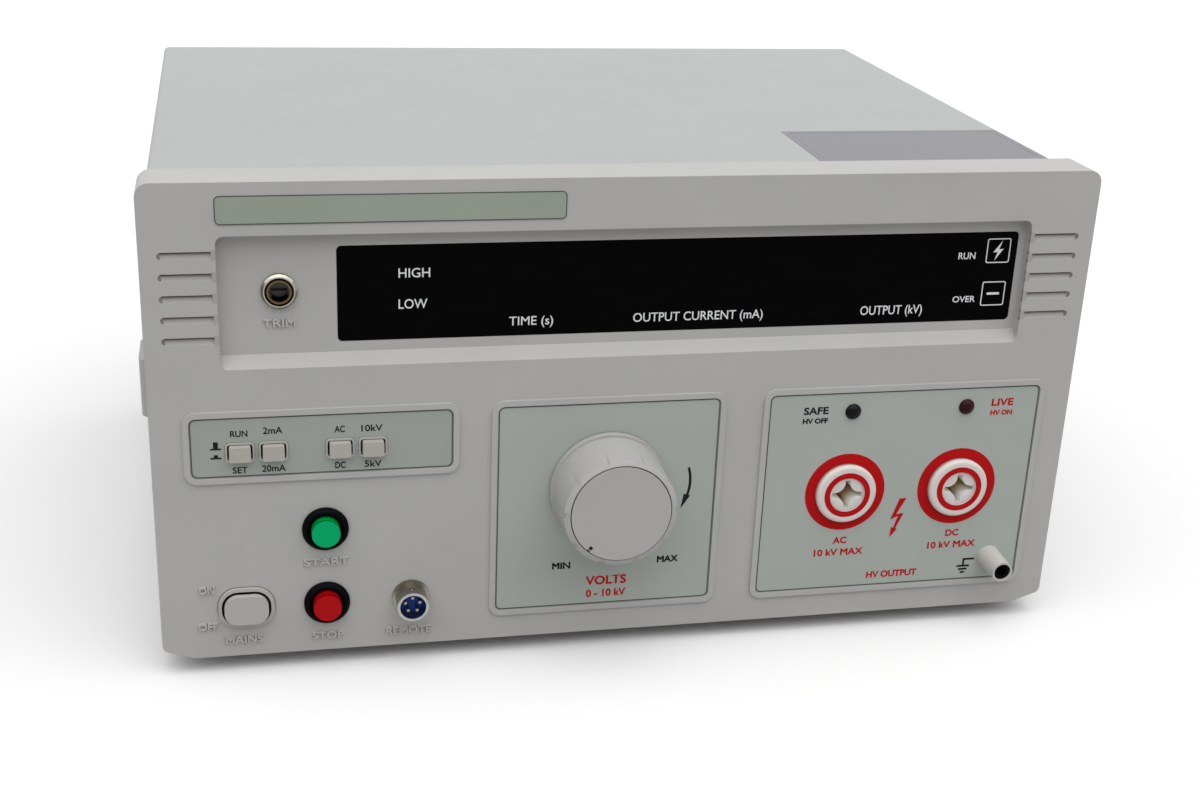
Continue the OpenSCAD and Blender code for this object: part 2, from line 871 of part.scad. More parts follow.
module chassis_tray() color([0.72, 0.73, 0.74]) difference() {
    length = rear_in - boss_y;
    union() {
        translate([-skin_x, boss_y, tray_lift]) cube([2 * skin_x, length, sheet_t]);
        both_sides() translate([skin_x - sheet_t, boss_y, tray_lift]) cube([sheet_t, length, flange_h]);
        for (x = boss_xs)
            translate([x - front_tab_w / 2, boss_y, tray_lift]) cube([front_tab_w, sheet_t, front_tab_h]);
        translate([-skin_x, rear_in - sheet_t, tray_lift]) cube([2 * skin_x, sheet_t, flange_h]);
    }
    for (x = boss_xs) at(x, boss_z) rod(screw_hole, boss_y - cut, sheet_t + 2 * cut);
    for (x = rear_screw_xs) at(x, side_screw_z) rod(screw_hole, rear_in - sheet_t - cut, sheet_t + 2 * cut);
    for (y = side_screw_ys) translate([-skin_x - cut, y, side_screw_z]) rotate([0, 90, 0])
        cylinder(d = screw_hole, h = 2 * (skin_x + cut));
    for (sx = [-1, 1], y = foot_ys) translate([sx * foot_x, y, 0]) floor_hole();
    bracket_screws() floor_hole();
    core_screws() floor_hole();
    rectifier_screws() floor_hole();
    standoff_places() floor_hole();
}

module rear_panel() color([0.88, 0.89, 0.88]) difference() {
    slab(rear_in, sheet_t) cover_outline(-sheet_t - fit);
    for (x = rear_screw_xs) at(x, side_screw_z) rod(screw_hole, rear_in - cut, sheet_t + 2 * cut);
    for (sx = [-1, 1]) at(sx * rail_x, rail_z) rod(screw_hole, rear_in - cut, sheet_t + 2 * cut);
    at(inlet_x, inlet_z) slab(rear_in - cut, sheet_t + 2 * cut)
        square([inlet_body_w + fit, inlet_body_h + fit], center = true);
    at(stud_x, stud_z) rod(stud_shank_d + 2 * slip, rear_in - cut, sheet_t + 2 * cut);
    for (i = [0 : vent_count - 1])
        at(vent_x - i * vent_pitch, vent_z) slab(rear_in - cut, sheet_t + 2 * cut)
            rounded(vent_w, vent_h, vent_r);
}

module top_rails() color([0.75, 0.76, 0.77]) both_sides() difference() {
    low = rail_z - rail_s / 2;
    union() {
        translate([rail_x - rail_s / 2, boss_y, low]) cube([rail_s, rear_in - boss_y, rail_s]);
        translate([tab_x - tab_w / 2, boss_y, low]) cube([tab_w + cut, tab_t, rail_s]);
    }
    at(tab_x, rail_z) rod(screw_hole, boss_y - cut, tab_t + 2 * cut);
    at(rail_x, rail_z) rod(screw_hole, rear_in - screw_l - cut, screw_l + 2 * cut);
}

module feet() color([0.12, 0.12, 0.12]) for (sx = [-1, 1], y = foot_ys)
    translate([sx * foot_x, y, tray_lift - foot_h]) difference() {
        cylinder(d1 = foot_d - foot_taper, d2 = foot_d, h = foot_h);
        translate([0, 0, -cut]) cylinder(d = foot_well_d, h = foot_h - foot_web + cut);
        cylinder(d = screw_hole, h = foot_h + cut);
    }

// Pan-head screw with its head's underside at the origin and its shank along y
module screw() {
    head_r = screw_head_d / 2;
    rod(screw_d, 0, screw_l);
    turned() polygon([[0, -screw_head_h], [head_r - screw_edge, -screw_head_h],
        [head_r, screw_edge - screw_head_h], [head_r, 0], [0, 0]]);
}

// The same screw driven towards the front, down and up
module screw_forward(y) {
    translate([0, y, 0]) rotate([0, 0, 180]) screw();
}

module screw_down(z) {
    translate([0, 0, z]) rotate([-90, 0, 0]) screw();
}

module screw_up(z) {
    translate([0, 0, z]) rotate([90, 0, 0]) screw();
}

module bracket_screws() {
    for (sx = [-1, 1]) translate([knob_x + sx * ring_core_d / 3, bracket_screw_y, 0]) children();
}

module case_screws() color([0.78, 0.78, 0.76]) {
    for (x = boss_xs) at(x, boss_z) screw_forward(boss_y + sheet_t);
    for (sx = [-1, 1]) at(sx * tab_x, rail_z) screw_forward(boss_y + tab_t);
    for (x = rear_screw_xs) at(x, side_screw_z) screw_forward(case_d);
    for (sx = [-1, 1]) at(sx * rail_x, rail_z) screw_forward(case_d);
    for (sx = [-1, 1], y = side_screw_ys)
        translate([sx * cover_hw, y, side_screw_z]) rotate([0, 0, sx * 90]) screw();
    for (sx = [-1, 1], y = foot_ys)
        translate([sx * foot_x, y, 0]) screw_up(tray_lift - foot_web);
    cap_places() translate([-sheet_t, cap_screw_y, 0]) rotate([0, 0, -90]) screw();
    display_bosses() screw_forward(display_board_y + board_t);
    selector_bosses() screw_forward(selector_board_y + board_t);
    power_bosses() screw_forward(power_switch_y + power_flange);
    bracket_screws() screw_down(floor_z + bracket_t);
    core_screws() screw_down(floor_z + core_foot_t);
    rectifier_screws() screw_down(floor_z + ear_t);
    standoff_places() screw_down(floor_z + standoff_h + board_t);
    standoff_places() screw_up(tray_lift);
}

module handle_straps() color([0.25, 0.25, 0.26]) both_sides()
    translate([cover_hw + finger_gap, handle_y - handle_len / 2 + strap_end, handle_z - strap_w / 2])
        cube([strap_t, handle_len - 2 * strap_end, strap_w]);

// End cap of a handle, with a slot that the strap slides into
module handle_cap() difference() {
    end = [handle_out - cap_end_r, cap_end_r];
    nose = [handle_out - cap_nose_r, cap_l - cap_nose_r];
    translate([0, 0, -cap_w / 2]) linear_extrude(cap_w) {
        polygon([[0, 0], [end[0], 0], [handle_out, end[1]],
            [handle_out, nose[1]], [nose[0], cap_l], [0, cap_l]]);
        translate(end) circle(cap_end_r);
        translate(nose) circle(cap_nose_r);
    }
    translate([finger_gap - strap_play, strap_end - strap_play, -strap_w / 2 - strap_play])
        cube([strap_t + 2 * strap_play, cap_l, strap_w + 2 * strap_play]);
    translate([-cut, cap_screw_y, 0]) rotate([0, 90, 0])
        cylinder(d = screw_hole, h = screw_l - sheet_t + strap_play + cut);
}

// Ends of both handles, on the cover's sides
module cap_places() {
    both_sides() for (end = [0, 1])
        translate([cover_hw, handle_y, handle_z]) mirror([0, end, 0])
            translate([0, -handle_len / 2, 0]) children();
}

module handle_caps() color([0.70, 0.70, 0.68]) cap_places() handle_cap();

module display_window() color([0.03, 0.03, 0.04])
    at(window_x, window_z) slab(recess_depth, window_t) window_outline(0);

// Screw hole through a board or flange at depth y
module board_hole(y, t) {
    rod(screw_hole, y - cut, t + 2 * cut);
}

module display_board() color([0.10, 0.35, 0.20]) difference() {
    at(window_x, window_z) slab(display_board_y, board_t)
        square([display_board_w, display_board_h], center = true);
    display_bosses() board_hole(display_board_y, board_t);
}

// Block on the display board, seen through the window
module display_block(x, z, size) {
    at(window_x + x, window_z + z) slab(display_board_y - digit_t, digit_t) square(size, center = true);
}

module digit_modules() color([0.20, 0.20, 0.22]) {
    for (x = digit_xs) display_block(x, digit_up, digit_size);
    for (z = [-arrow_off, arrow_off]) display_block(arrow_in - window_w / 2, digit_up + z, arrow_size);
    for (z = [-signal_off, signal_off]) display_block(window_w / 2 - signal_in, z, signal_size);
}

// Threaded barrel with a round nut, a groove between them
module preset_bush() color([0.80, 0.79, 0.76]) at(preset_x, preset_z) {
    bore_r = preset_bore / 2;
    barrel_r = preset_barrel_d / 2;
    rim_r = preset_d / 2 - preset_edge;
    groove_r = barrel_r + preset_groove_part * (rim_r - barrel_r);
    groove_back = preset_front + preset_groove;
    turned() polygon([
        [bore_r, preset_front], [barrel_r, preset_front], [barrel_r, groove_back], [groove_r, groove_back],
        [groove_r, preset_front], [rim_r, preset_front], [preset_d / 2, preset_front + preset_edge],
        [preset_d / 2, recess_depth], [barrel_r, recess_depth], [barrel_r, preset_pot_y],
        [bore_r, preset_pot_y]]);
}

module preset_shaft() color([0.72, 0.58, 0.30]) at(preset_x, preset_z) difference() {
    front = preset_front + preset_sink;
    rod(preset_shaft_d, front, preset_pot_y + preset_pot_l - front);
    translate([-preset_shaft_d, front - cut, -preset_slot_w / 2])
        cube([2 * preset_shaft_d, cut + preset_slot_depth, preset_slot_w]);
}

module preset_pot() color([0.30, 0.32, 0.36]) at(preset_x, preset_z) difference() {
    union() {
        rod(preset_pot_d, preset_pot_y, preset_pot_l);
        translate([-preset_tags[0] / 2, preset_pot_y + preset_tags_in, -(preset_pot_d + preset_tags[2]) / 2])
            cube(preset_tags);
    }
    rod(preset_shaft_d + 2 * slip, preset_pot_y - cut, preset_pot_l + 2 * cut);
}

module selector_overlay() color([0.72, 0.77, 0.72]) difference() {
    overlay_sheet(column_x, selector_z, selector_w, selector_h);
    for (x = key_xs) at(x, key_z) slab(-overlay_t - cut, overlay_t + 2 * cut) key_opening(fit / 2 + collar);
}

// Key cap with a plunger that runs in its switch
module selector_key(i) color([0.88, 0.87, 0.84]) at(key_xs[i], key_z) {
    slab(-key_out, key_out + key_back) rounded(key_w, key_h, key_r);
    slab(key_back - cut, stem_l + cut) square(key_stem, center = true);
}

module selector_switches() color([0.16, 0.16, 0.18]) for (x = key_xs) at(x, key_z) difference() {
    slab(switch_y, switch_l) square([switch_w, switch_h], center = true);
    slab(switch_y - cut, key_well + cut) square(key_stem + 2 * fit, center = true);
}

module selector_board() color([0.10, 0.35, 0.20]) difference() {
    at(column_x, selector_z) slab(selector_board_y, board_t) square([selector_w, selector_h], center = true);
    selector_bosses() board_hole(selector_board_y, board_t);
}

// Panel button: dished ring, threaded barrel with a blind bore, and two tags
module button_body() {
    ring_r = ring_d / 2;
    bore_r = button_d / 2 + fit;
    turned() polygon([
        [ring_r - ring_edge, -ring_out], [ring_r, ring_edge - ring_out], [ring_r, 0], [barrel_d / 2, 0],
        [barrel_d / 2, barrel_l], [0, barrel_l], [0, button_well], [bore_r, button_well],
        [bore_r, ring_dish_depth - ring_out], [bore_r + ring_dish, -ring_out]]);
    for (sx = [-1, 1]) tag(sx * button_tag_x, barrel_l, 0);
}

module button_bodies() color([0.06, 0.06, 0.07]) for (z = [row_z, start_z]) at(column_x, z) button_body();

// Cap with a lens set off by a groove, and a plunger
module button_cap() {
    front = -ring_out - button_out;
    step = front + lens_t + lens_gap;
    rod(button_d, front, lens_t);
    rod(button_d - 2 * lens_in, front, button_back - front);
    rod(button_d, step, button_back - step);
    rod(button_d / 2, button_back - cut, button_stem + cut);
}

module start_cap() color([0.00, 0.60, 0.38]) at(column_x, start_z) button_cap();

module reset_cap() color([0.66, 0.05, 0.06]) at(column_x, row_z) button_cap();

module panel_nuts() color([0.80, 0.79, 0.76]) {
    for (z = [row_z, start_z]) at(column_x, z) hex_nut(barrel_d, nut_rim, bezel_t, nut_h);
    at(control_x, row_z) hex_nut(control_d, nut_rim, bezel_t, nut_h);
    for (x = socket_xs) at(x, socket_z) hex_nut(socket_barrel_d, socket_nut_rim, bezel_t, socket_nut_h);
    at(post_x, post_z) hex_nut(post_barrel_d, nut_rim, bezel_t, nut_h);
    at(knob_x, knob_z) hex_nut(bush_d, bush_nut_rim, bracket_y + bracket_t, bush_nut_h);
    for (y = [rear_in - nut_h, case_d]) at(stud_x, stud_z) hex_nut(stud_shank_d, nut_rim, y, nut_h);
}

module power_key() color([0.88, 0.87, 0.84]) at(power_x, row_z) {
    slab(-power_out, power_out + power_back) power_outline(0);
    slab(power_back - cut, power_stem_l + cut) square(power_stem, center = true);
}

module power_switch() color([0.14, 0.14, 0.15]) difference() {
    at(power_x, row_z) {
        slab(power_switch_y, power_flange)
            square([2 * power_boss_x + boss_d, power_flange_h], center = true);
        slab(power_switch_y, power_switch_l) square([power_w, power_h], center = true);
        for (sx = [-1, 1], sz = [-1, 1])
            tag(sx * power_tag_x, power_switch_y + power_switch_l, sz * power_tag_z);
    }
    at(power_x, row_z) slab(power_switch_y - cut, power_well + cut)
        square(power_stem + 2 * fit, center = true);
    power_bosses() board_hole(power_switch_y, power_flange);
}

module control_shell() color([0.80, 0.79, 0.76]) at(control_x, row_z) difference() {
    union() {
        rod(control_d, -control_out, control_out + control_l);
        rod(control_flange_d, -control_flange, control_flange);
    }
    rod(control_bore, -control_out - cut, control_out + control_l + 2 * cut);
    translate([0, dimple_in - control_out, 0]) cylinder(d = dimple_d, h = control_d);
}

module control_pin_places() {
    for (i = [0 : pin_count - 1])
        rotate([0, i * 360 / pin_count, 0]) translate([0, 0, pin_circle_r]) children();
}

module control_insert() color([0.06, 0.12, 0.50]) at(control_x, row_z) difference() {
    front = control_well - control_out;
    rod(control_bore, front, control_l);
    control_pin_places() rod(pin_d + 2 * slip, front - cut, control_l + 2 * cut);
}

module control_pins() color([0.83, 0.78, 0.62]) at(control_x, row_z)
    control_pin_places() rod(pin_d, pin_in - control_out, pin_l);

module adjust_overlay() color([0.72, 0.77, 0.72]) difference() {
    overlay_sheet(adjust_x, overlay_z, adjust_w, overlay_h);
    overlay_hole(knob_x, knob_z, shaft_hole_d);
}

// Finger groove that ends round in the front slope and runs out towards the back
module flute(slope, rise) {
    rotate([rise, 0, 0]) translate([-flute_w / 2, 0, 0]) cube([flute_w, flute_l + flute_w, flute_w]);
    rotate([slope, 0, 0]) cylinder(d = flute_w, h = flute_w);
}

// Turned knob, hollow behind, with a base flange, finger grooves and a front lip
module adjust_knob() color([0.86, 0.85, 0.83]) at(knob_x, knob_z) difference() {
    front = knob_lip - knob_out;
    slope_back = front + knob_slope_h;
    flange_front = knob_back - knob_flange;
    base_r = knob_d / 2;
    disc_r = disc_d / 2 + disc_gap;
    front_r = disc_r + knob_rim + knob_slope_w;
    hollow_r = front_r - knob_wall - flute_depth;
    taper = (base_r - knob_step - front_r) / (flange_front - slope_back);
    flute_rise = atan(taper + flute_depth / flute_l);
    shaft_r = shaft_d / 2 + slip / 2;
    screw_r = screw_d / 2 + slip;
    head_r = screw_head_d / 2 + fit;
    turned() polygon([
        [disc_r, front], [disc_r + knob_rim, front], [front_r, slope_back],
        [base_r - knob_step, flange_front], [base_r, flange_front], [base_r, knob_back],
        [hollow_r, knob_back], [hollow_r, knob_seat + knob_wall],
        [hub_d / 2, knob_seat + knob_wall], [hub_d / 2, knob_back],
        [shaft_r, knob_back], [shaft_r, shaft_front], [screw_r, shaft_front], [screw_r, knob_head_seat],
        [head_r, knob_head_seat], [head_r, knob_seat], [disc_r, knob_seat]]);
    for (i = [0 : flute_count - 1]) rotate([0, (i + 0.5) * 360 / flute_count, 0])
        translate([0, slope_back, front_r - flute_depth])
            flute(atan(knob_slope_w / knob_slope_h), flute_rise);
}

module knob_disc() color([0.87, 0.86, 0.84]) difference() {
    at(knob_x, knob_z) rod(disc_d, -knob_out, disc_t);
    at_pointer() translate([-notch_w / 2, -knob_out - cut, disc_d / 2 - notch_l])
        cube([notch_w, cut + notch_depth, notch_l + cut]);
}

module knob_screw() color([0.78, 0.78, 0.76]) at(knob_x, knob_z) {
    rod(screw_head_d, knob_head_seat - screw_head_h, screw_head_h);
    rod(screw_d, knob_head_seat - cut, shaft_front - knob_head_seat + knob_screw_l + cut);
}

module regulator_shaft() color([0.72, 0.72, 0.72]) at(knob_x, knob_z) difference() {
    rod(shaft_d, shaft_front, shaft_end - shaft_front);
    rod(screw_hole, shaft_front - cut, knob_screw_l + knob_screw_run + cut);
}

// Turned to the knob's pointer
module at_pointer() {
    at(knob_x, knob_z) rotate([0, 180 + pointer_angle, 0]) children();
}

module wiper_arm() color([0.70, 0.62, 0.42]) at_pointer() difference() {
    union() {
        rod(wiper_hub_d, wiper_y, wiper_hub_l);
        translate([-wiper_w / 2, wiper_arm_y, -wiper_tail])
            cube([wiper_w, wiper_t, wiper_tail + wiper_r + wiper_w / 2]);
        translate([0, 0, -wiper_tail]) rod(wiper_w, wiper_arm_y, wiper_t);
    }
    rod(shaft_d + slip, wiper_y - cut, wiper_hub_l + 2 * cut);
}

module wiper_brush() color([0.12, 0.12, 0.13]) at_pointer()
    translate([-brush_w / 2, brush_y, wiper_r - brush_l / 2])
        cube([brush_w, ring_core_y - fit - brush_y, brush_l]);

module regulator_winding() color([0.62, 0.32, 0.14]) at(knob_x, knob_z) turned()
    translate([wiper_r, ring_core_y + ring_core_h / 2])
        rounded((ring_core_d - ring_core_bore) / 2, ring_core_h, winding_r);

// Upright plate on a foot, with a gusset at each side
module regulator_bracket() color([0.75, 0.76, 0.77]) difference() {
    translate([knob_x - ring_core_d / 2, bracket_y, floor_z]) {
        cube([ring_core_d, bracket_t, knob_z - floor_z + bracket_rise]);
        cube([ring_core_d, bracket_foot, bracket_t]);
        for (x = [0, ring_core_d - bracket_t])
            across(x, bracket_t) polygon([[0, 0], [bracket_foot, 0], [0, gusset_h]]);
    }
    at(knob_x, knob_z) rod(bush_d + 2 * slip, bracket_y - cut, bracket_t + 2 * cut);
    bracket_screws() plate_hole(bracket_t);
}

// Bush of the shaft, with a disc that clamps the wound ring against the bracket
module regulator_bush() color([0.72, 0.58, 0.30]) at(knob_x, knob_z) difference() {
    front = clamp_back - clamp_t;
    union() {
        rod(clamp_d, front, clamp_t);
        rod(bush_d, front, bush_end - front);
    }
    rod(shaft_d + 2 * slip, front - cut, bush_end - front + 2 * cut);
}

module output_overlay() color([0.72, 0.77, 0.72]) difference() {
    overlay_sheet(output_x, overlay_z, output_w, overlay_h);
    for (x = socket_xs) overlay_hole(x, socket_z, socket_barrel_d);
    for (x = socket_xs) overlay_hole(x, lamp_z, lamp_barrel_d);
    overlay_hole(post_x, post_z, post_barrel_d);
}

// Insulator of a high-voltage socket: round-edged flange and a long barrel
module hv_socket(x) color([0.90, 0.88, 0.86]) at(x, socket_z) {
    edge = socket_out / 2;
    bore = insert_d / 2 + slip;
    tail = tail_d / 2 + slip;
    turned() {
        translate([bore, -overlay_t - socket_out]) square([socket_d / 2 - edge - bore, socket_out]);
        translate([socket_d / 2 - edge, -overlay_t - edge]) circle(edge);
        translate([bore, -overlay_t - cut]) square([socket_barrel_d / 2 - bore, socket_l + cut]);
        translate([tail, socket_stop]) square([socket_barrel_d / 2 - tail, socket_end]);
    }
}

// Four-armed star with hollow sides and round tips
module star() {
    spread = star_tip + star_end - sqrt(2) * star_waist;
    centre = (star_tip ^ 2 + star_end ^ 2 - star_waist ^ 2) / (2 * spread);
    arc = sqrt(2) * centre - star_waist;
    difference() {
        circle(star_tip);
        for (sx = [-1, 1], sy = [-1, 1]) translate([sx * centre, sy * centre]) circle(arc);
    }
}

module hv_inserts() color([0.90, 0.88, 0.86]) for (x = socket_xs) at(x, socket_z) difference() {
    rod(insert_d, insert_front, insert_back - insert_front);
    slab(insert_front - cut, star_depth - insert_front + cut) star();
    rod(contact_way_d, insert_front, insert_back - insert_front + cut);
}

module hv_contacts() color([0.80, 0.68, 0.38]) for (x = socket_xs) at(x, socket_z) difference() {
    union() {
        rod(hv_contact_d, insert_back, socket_stop - insert_back);
        rod(tail_d, socket_stop - cut, socket_end + tail_l + cut);
    }
    rod(contact_bore, insert_back - cut, socket_stop - contact_floor - insert_back + cut);
}

module earth_post() color([0.90, 0.89, 0.86]) at(post_x, post_z) difference() {
    union() {
        translate([0, -overlay_t - post_out, 0]) rotate([-90, 0, 0])
            cylinder(d1 = post_tip_d, d2 = post_d, h = post_out);
        rod(post_barrel_d, -overlay_t - cut, post_l + cut);
    }
    rod(post_bore, -overlay_t - post_out - cut, post_out + post_l + 2 * cut);
}

module earth_contact() color([0.30, 0.28, 0.24]) at(post_x, post_z) {
    front = earth_sink - overlay_t - post_out;
    difference() {
        rod(post_bore - 2 * slip, front, post_l - front);
        rod(contact_bore, front - cut, post_l - earth_floor - front + cut);
    }
    rod(tail_d, post_l - cut, tail_l + cut);
}

// Domed lens with a barrel through the panel
module lamp(x) at(x, lamp_z) turned() {
    lamp_r = lamp_d / 2;
    dome_r = (lamp_r ^ 2 + lamp_dome ^ 2) / (2 * lamp_dome);
    translate([0, -overlay_t - lamp_rim]) {
        square([lamp_r, lamp_rim]);
        intersection() {
            translate([0, dome_r - lamp_dome]) circle(dome_r);
            translate([0, -lamp_d]) square(lamp_d);
        }
        square([lamp_barrel_d / 2, lamp_l]);
    }
}

module lamp_safety() color([0.05, 0.05, 0.07]) lamp(socket_xs[0]);

module lamp_danger() color([0.25, 0.03, 0.05]) lamp(socket_xs[1]);

module core_screws() {
    for (sx = [-1, 1], sy = [-1, 1])
        translate([core_x + sx * core_w / 3, core_y + sy * (core_stack + core_foot) / 2, 0]) children();
}

// Stack of laminations with two windows, clamped on a footplate
module hv_core() color([0.36, 0.37, 0.39]) difference() {
    translate([core_x, core_y, floor_z]) {
        translate([0, 0, core_h / 2]) slab(-core_stack / 2, core_stack) difference() {
            square([core_w, core_h], center = true);
            for (sx = [-1, 1]) translate([sx * (core_limb + core_window / 2), 0])
                square([core_window, core_h - 2 * core_limb], center = true);
        }
        translate([-core_w / 2, -core_stack / 2 - core_foot, 0])
            cube([core_w, core_stack + 2 * core_foot, core_foot_t]);
    }
    core_screws() plate_hole(core_foot_t);
}

module hv_coil() color([0.30, 0.20, 0.10]) {
    reach = core_window - coil_gap;
    height = core_h - 2 * core_limb - 2 * coil_gap;
    translate([core_x, core_y, floor_z + (core_h - height) / 2]) linear_extrude(height) difference() {
        rounded(2 * (core_limb + reach), core_stack + 2 * reach, coil_r);
        square([2 * core_limb + 2 * slip, core_stack + 2 * slip], center = true);
    }
}

module rectifier_screws() {
    for (sx = [-1, 1])
        translate([socket_mid + sx * (rectifier_size[0] + ear_l) / 2, rectifier_y, 0]) children();
}

// Cast block with a screw ear at each end and two insulated terminals
module hv_rectifier() color([0.10, 0.10, 0.12]) difference() {
    translate([socket_mid, rectifier_y, floor_z]) {
        translate([-rectifier_size[0] / 2, -rectifier_size[1] / 2, 0]) cube(rectifier_size);
        translate([-rectifier_size[0] / 2 - ear_l, -ear_l / 2, 0])
            cube([rectifier_size[0] + 2 * ear_l, ear_l, ear_t]);
        for (sx = [-1, 1]) translate([sx * terminal_x, 0, rectifier_size[2] - cut]) {
            cylinder(d = terminal_d, h = terminal_h + cut);
            cylinder(d = terminal_pin_d, h = terminal_pin_h + cut);
        }
    }
    rectifier_screws() plate_hole(ear_t);
}

module standoff_places() {
    for (sx = [-1, 1], sy = [-1, 1])
        translate([main_x + sx * (main_w / 2 - standoff_in), main_y + sy * (main_l / 2 - standoff_in), 0])
            children();
}

module main_board() color([0.10, 0.35, 0.20]) difference() {
    translate([main_x - main_w / 2, main_y - main_l / 2, floor_z + standoff_h])
        cube([main_w, main_l, board_t]);
    standoff_places() plate_hole(standoff_h + board_t);
}

module board_standoffs() color([0.80, 0.79, 0.76]) standoff_places() difference() {
    translate([0, 0, floor_z]) cylinder(d = standoff_d, h = standoff_h, $fn = 6);
    plate_hole(standoff_h);
}

// Row of relays, two capacitors and the supply transformer
module board_parts() color([0.22, 0.24, 0.30]) translate([main_x, main_y, floor_z + standoff_h + board_t]) {
    for (i = [0 : relay_count - 1])
        translate([relay_in - main_w / 2, (i - relay_count / 2) * relay_pitch, 0]) cube(relay_size);
    for (y = capacitor_ys) translate([main_w / 4, y, 0]) cylinder(d = capacitor_d, h = capacitor_h);
    translate([main_w / 4 - supply_size[0] / 2, supply_y, 0]) cube(supply_size);
}

module inlet_pin_places() {
    for (i = [-1, 0, 1]) at(i * blade_pitch, mouth_up + (i == 0 ? blade_step : -blade_step)) children();
}

// Mouth of the mains inlet, with its two upper corners cut
module mouth_outline() {
    w = mouth_w / 2;
    h = mouth_h / 2;
    polygon([[-w, -h], [w, -h], [w, h - mouth_chamfer], [w - mouth_chamfer, h],
        [mouth_chamfer - w, h], [-w, h - mouth_chamfer]]);
}

module inlet_body() color([0.08, 0.08, 0.09]) at(inlet_x, inlet_z) difference() {
    union() {
        slab(case_d, inlet_flange) rounded(inlet_w, inlet_h, inlet_r);
        slab(rear_in - inlet_l, inlet_l + sheet_t + cut) square([inlet_body_w, inlet_body_h], center = true);
    }
    at(0, mouth_up) slab(inlet_back - mouth_depth, mouth_depth + cut) mouth_outline();
    at(0, -drawer_down) slab(inlet_back - drawer_l, drawer_l + cut)
        square([drawer_size[0] + fit, drawer_size[1] + fit], center = true);
    inlet_pin_places() slab(rear_in - inlet_l - cut, inlet_l + 2 * cut)
        square([blade_size[0] + 2 * slip, blade_size[1] + 2 * slip], center = true);
}

module inlet_pins() color([0.80, 0.79, 0.76]) at(inlet_x, inlet_z) inlet_pin_places()
    slab(rear_in - inlet_l - blade_tail, inlet_l + blade_tail + sheet_t) square(blade_size, center = true);

module fuse_carrier() color([0.12, 0.12, 0.13]) at(inlet_x, inlet_z - drawer_down) {
    slab(inlet_back - drawer_l, drawer_l) square(drawer_size, center = true);
    slab(inlet_back, drawer_lip)
        rounded(drawer_size[0] + 2 * drawer_lip, drawer_size[1] + 2 * drawer_lip, drawer_lip);
}

// Stud with a thicker shank in the panel and its nuts, and a free end for a ring terminal
module earth_stud() color([0.80, 0.68, 0.38]) at(stud_x, stud_z) {
    rod(stud_shank_d, rear_in - stud_in, stud_in + sheet_t + nut_h);
    rod(stud_d, case_d, stud_out);
}

place() front_bezel();
place() top_cover();
place() chassis_tray();
place() rear_panel();
place() top_rails();
place() feet();
place() case_screws();
place() handle_straps();
place() handle_caps();
place() display_window();
place() display_board();
place() digit_modules();
place() preset_bush();
place() preset_shaft();
place() preset_pot();
place() selector_overlay();
place() selector_key(0);  // selector_key_1
place() selector_key(1);  // selector_key_2
place() selector_key(2);  // selector_key_3
place() selector_key(3);  // selector_key_4
place() selector_switches();
place() selector_board();
place() button_bodies();
place() start_cap();
place() reset_cap();
place() panel_nuts();
place() power_key();
place() power_switch();
place() control_shell();
place() control_insert();
place() control_pins();
place() adjust_overlay();
place() adjust_knob();
place() knob_disc();
place() knob_screw();
place() regulator_shaft();
place() wiper_arm();
place() wiper_brush();
place() regulator_winding();
place() regulator_bracket();
place() regulator_bush();
place() output_overlay();
place() hv_socket(socket_xs[0]);  // hv_socket_ac
place() hv_socket(socket_xs[1]);  // hv_socket_dc
place() hv_inserts();
place() hv_contacts();
place() earth_post();
place() earth_contact();
place() lamp_safety();
place() lamp_danger();
place() hv_core();
place() hv_coil();
place() hv_rectifier();
place() main_board();
place() board_standoffs();
place() board_parts();
place() inlet_body();
place() inlet_pins();
place() fuse_carrier();
place() earth_stud();
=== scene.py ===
"""Bench withstand-voltage tester: materials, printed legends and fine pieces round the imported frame."""
import math
import bmesh
import bpy
from mathutils import Matrix, Vector


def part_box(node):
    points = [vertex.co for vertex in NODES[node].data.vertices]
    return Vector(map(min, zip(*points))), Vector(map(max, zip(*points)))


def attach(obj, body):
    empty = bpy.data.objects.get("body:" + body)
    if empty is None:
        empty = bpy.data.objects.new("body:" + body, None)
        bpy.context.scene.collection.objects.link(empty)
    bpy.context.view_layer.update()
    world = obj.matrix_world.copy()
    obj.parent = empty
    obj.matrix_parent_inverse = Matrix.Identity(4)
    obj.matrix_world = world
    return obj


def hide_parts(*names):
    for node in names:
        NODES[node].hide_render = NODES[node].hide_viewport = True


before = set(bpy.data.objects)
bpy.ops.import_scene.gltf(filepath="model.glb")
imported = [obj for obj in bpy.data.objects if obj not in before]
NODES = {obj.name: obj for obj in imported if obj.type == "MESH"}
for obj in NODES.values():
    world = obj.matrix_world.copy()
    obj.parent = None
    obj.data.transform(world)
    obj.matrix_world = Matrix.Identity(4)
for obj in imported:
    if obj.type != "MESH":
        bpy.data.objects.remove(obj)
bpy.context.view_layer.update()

MM = 0.001

# Panel coordinates in mm: x from the bezel's middle, y into the case from its front face, z from its bottom
WINDOW_FACE = 5.0
FRONT_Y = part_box("display_window")[0].y - WINDOW_FACE * MM
BASE_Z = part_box("front_bezel")[0].z


def at(x, y, z):
    return Vector((x * MM, FRONT_Y + y * MM, BASE_Z + z * MM))


def panel_box(node):
    """A node's middle x and z, its width and height and the depth of its face, in panel coordinates."""
    low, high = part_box(node)
    return ((low.x + high.x) / 2 / MM, ((low.z + high.z) / 2 - BASE_Z) / MM,
            (high.x - low.x) / MM, (high.z - low.z) / MM, (low.y - FRONT_Y) / MM)


# Materials: depths in mm, noise scales per metre, linear colours

NOISE_ROUGHNESS = 0.55


def shader(name):
    m = bpy.data.materials.new(name)
    m.use_nodes = True
    nt = m.node_tree
    return m, nt, nt.nodes["Principled BSDF"]


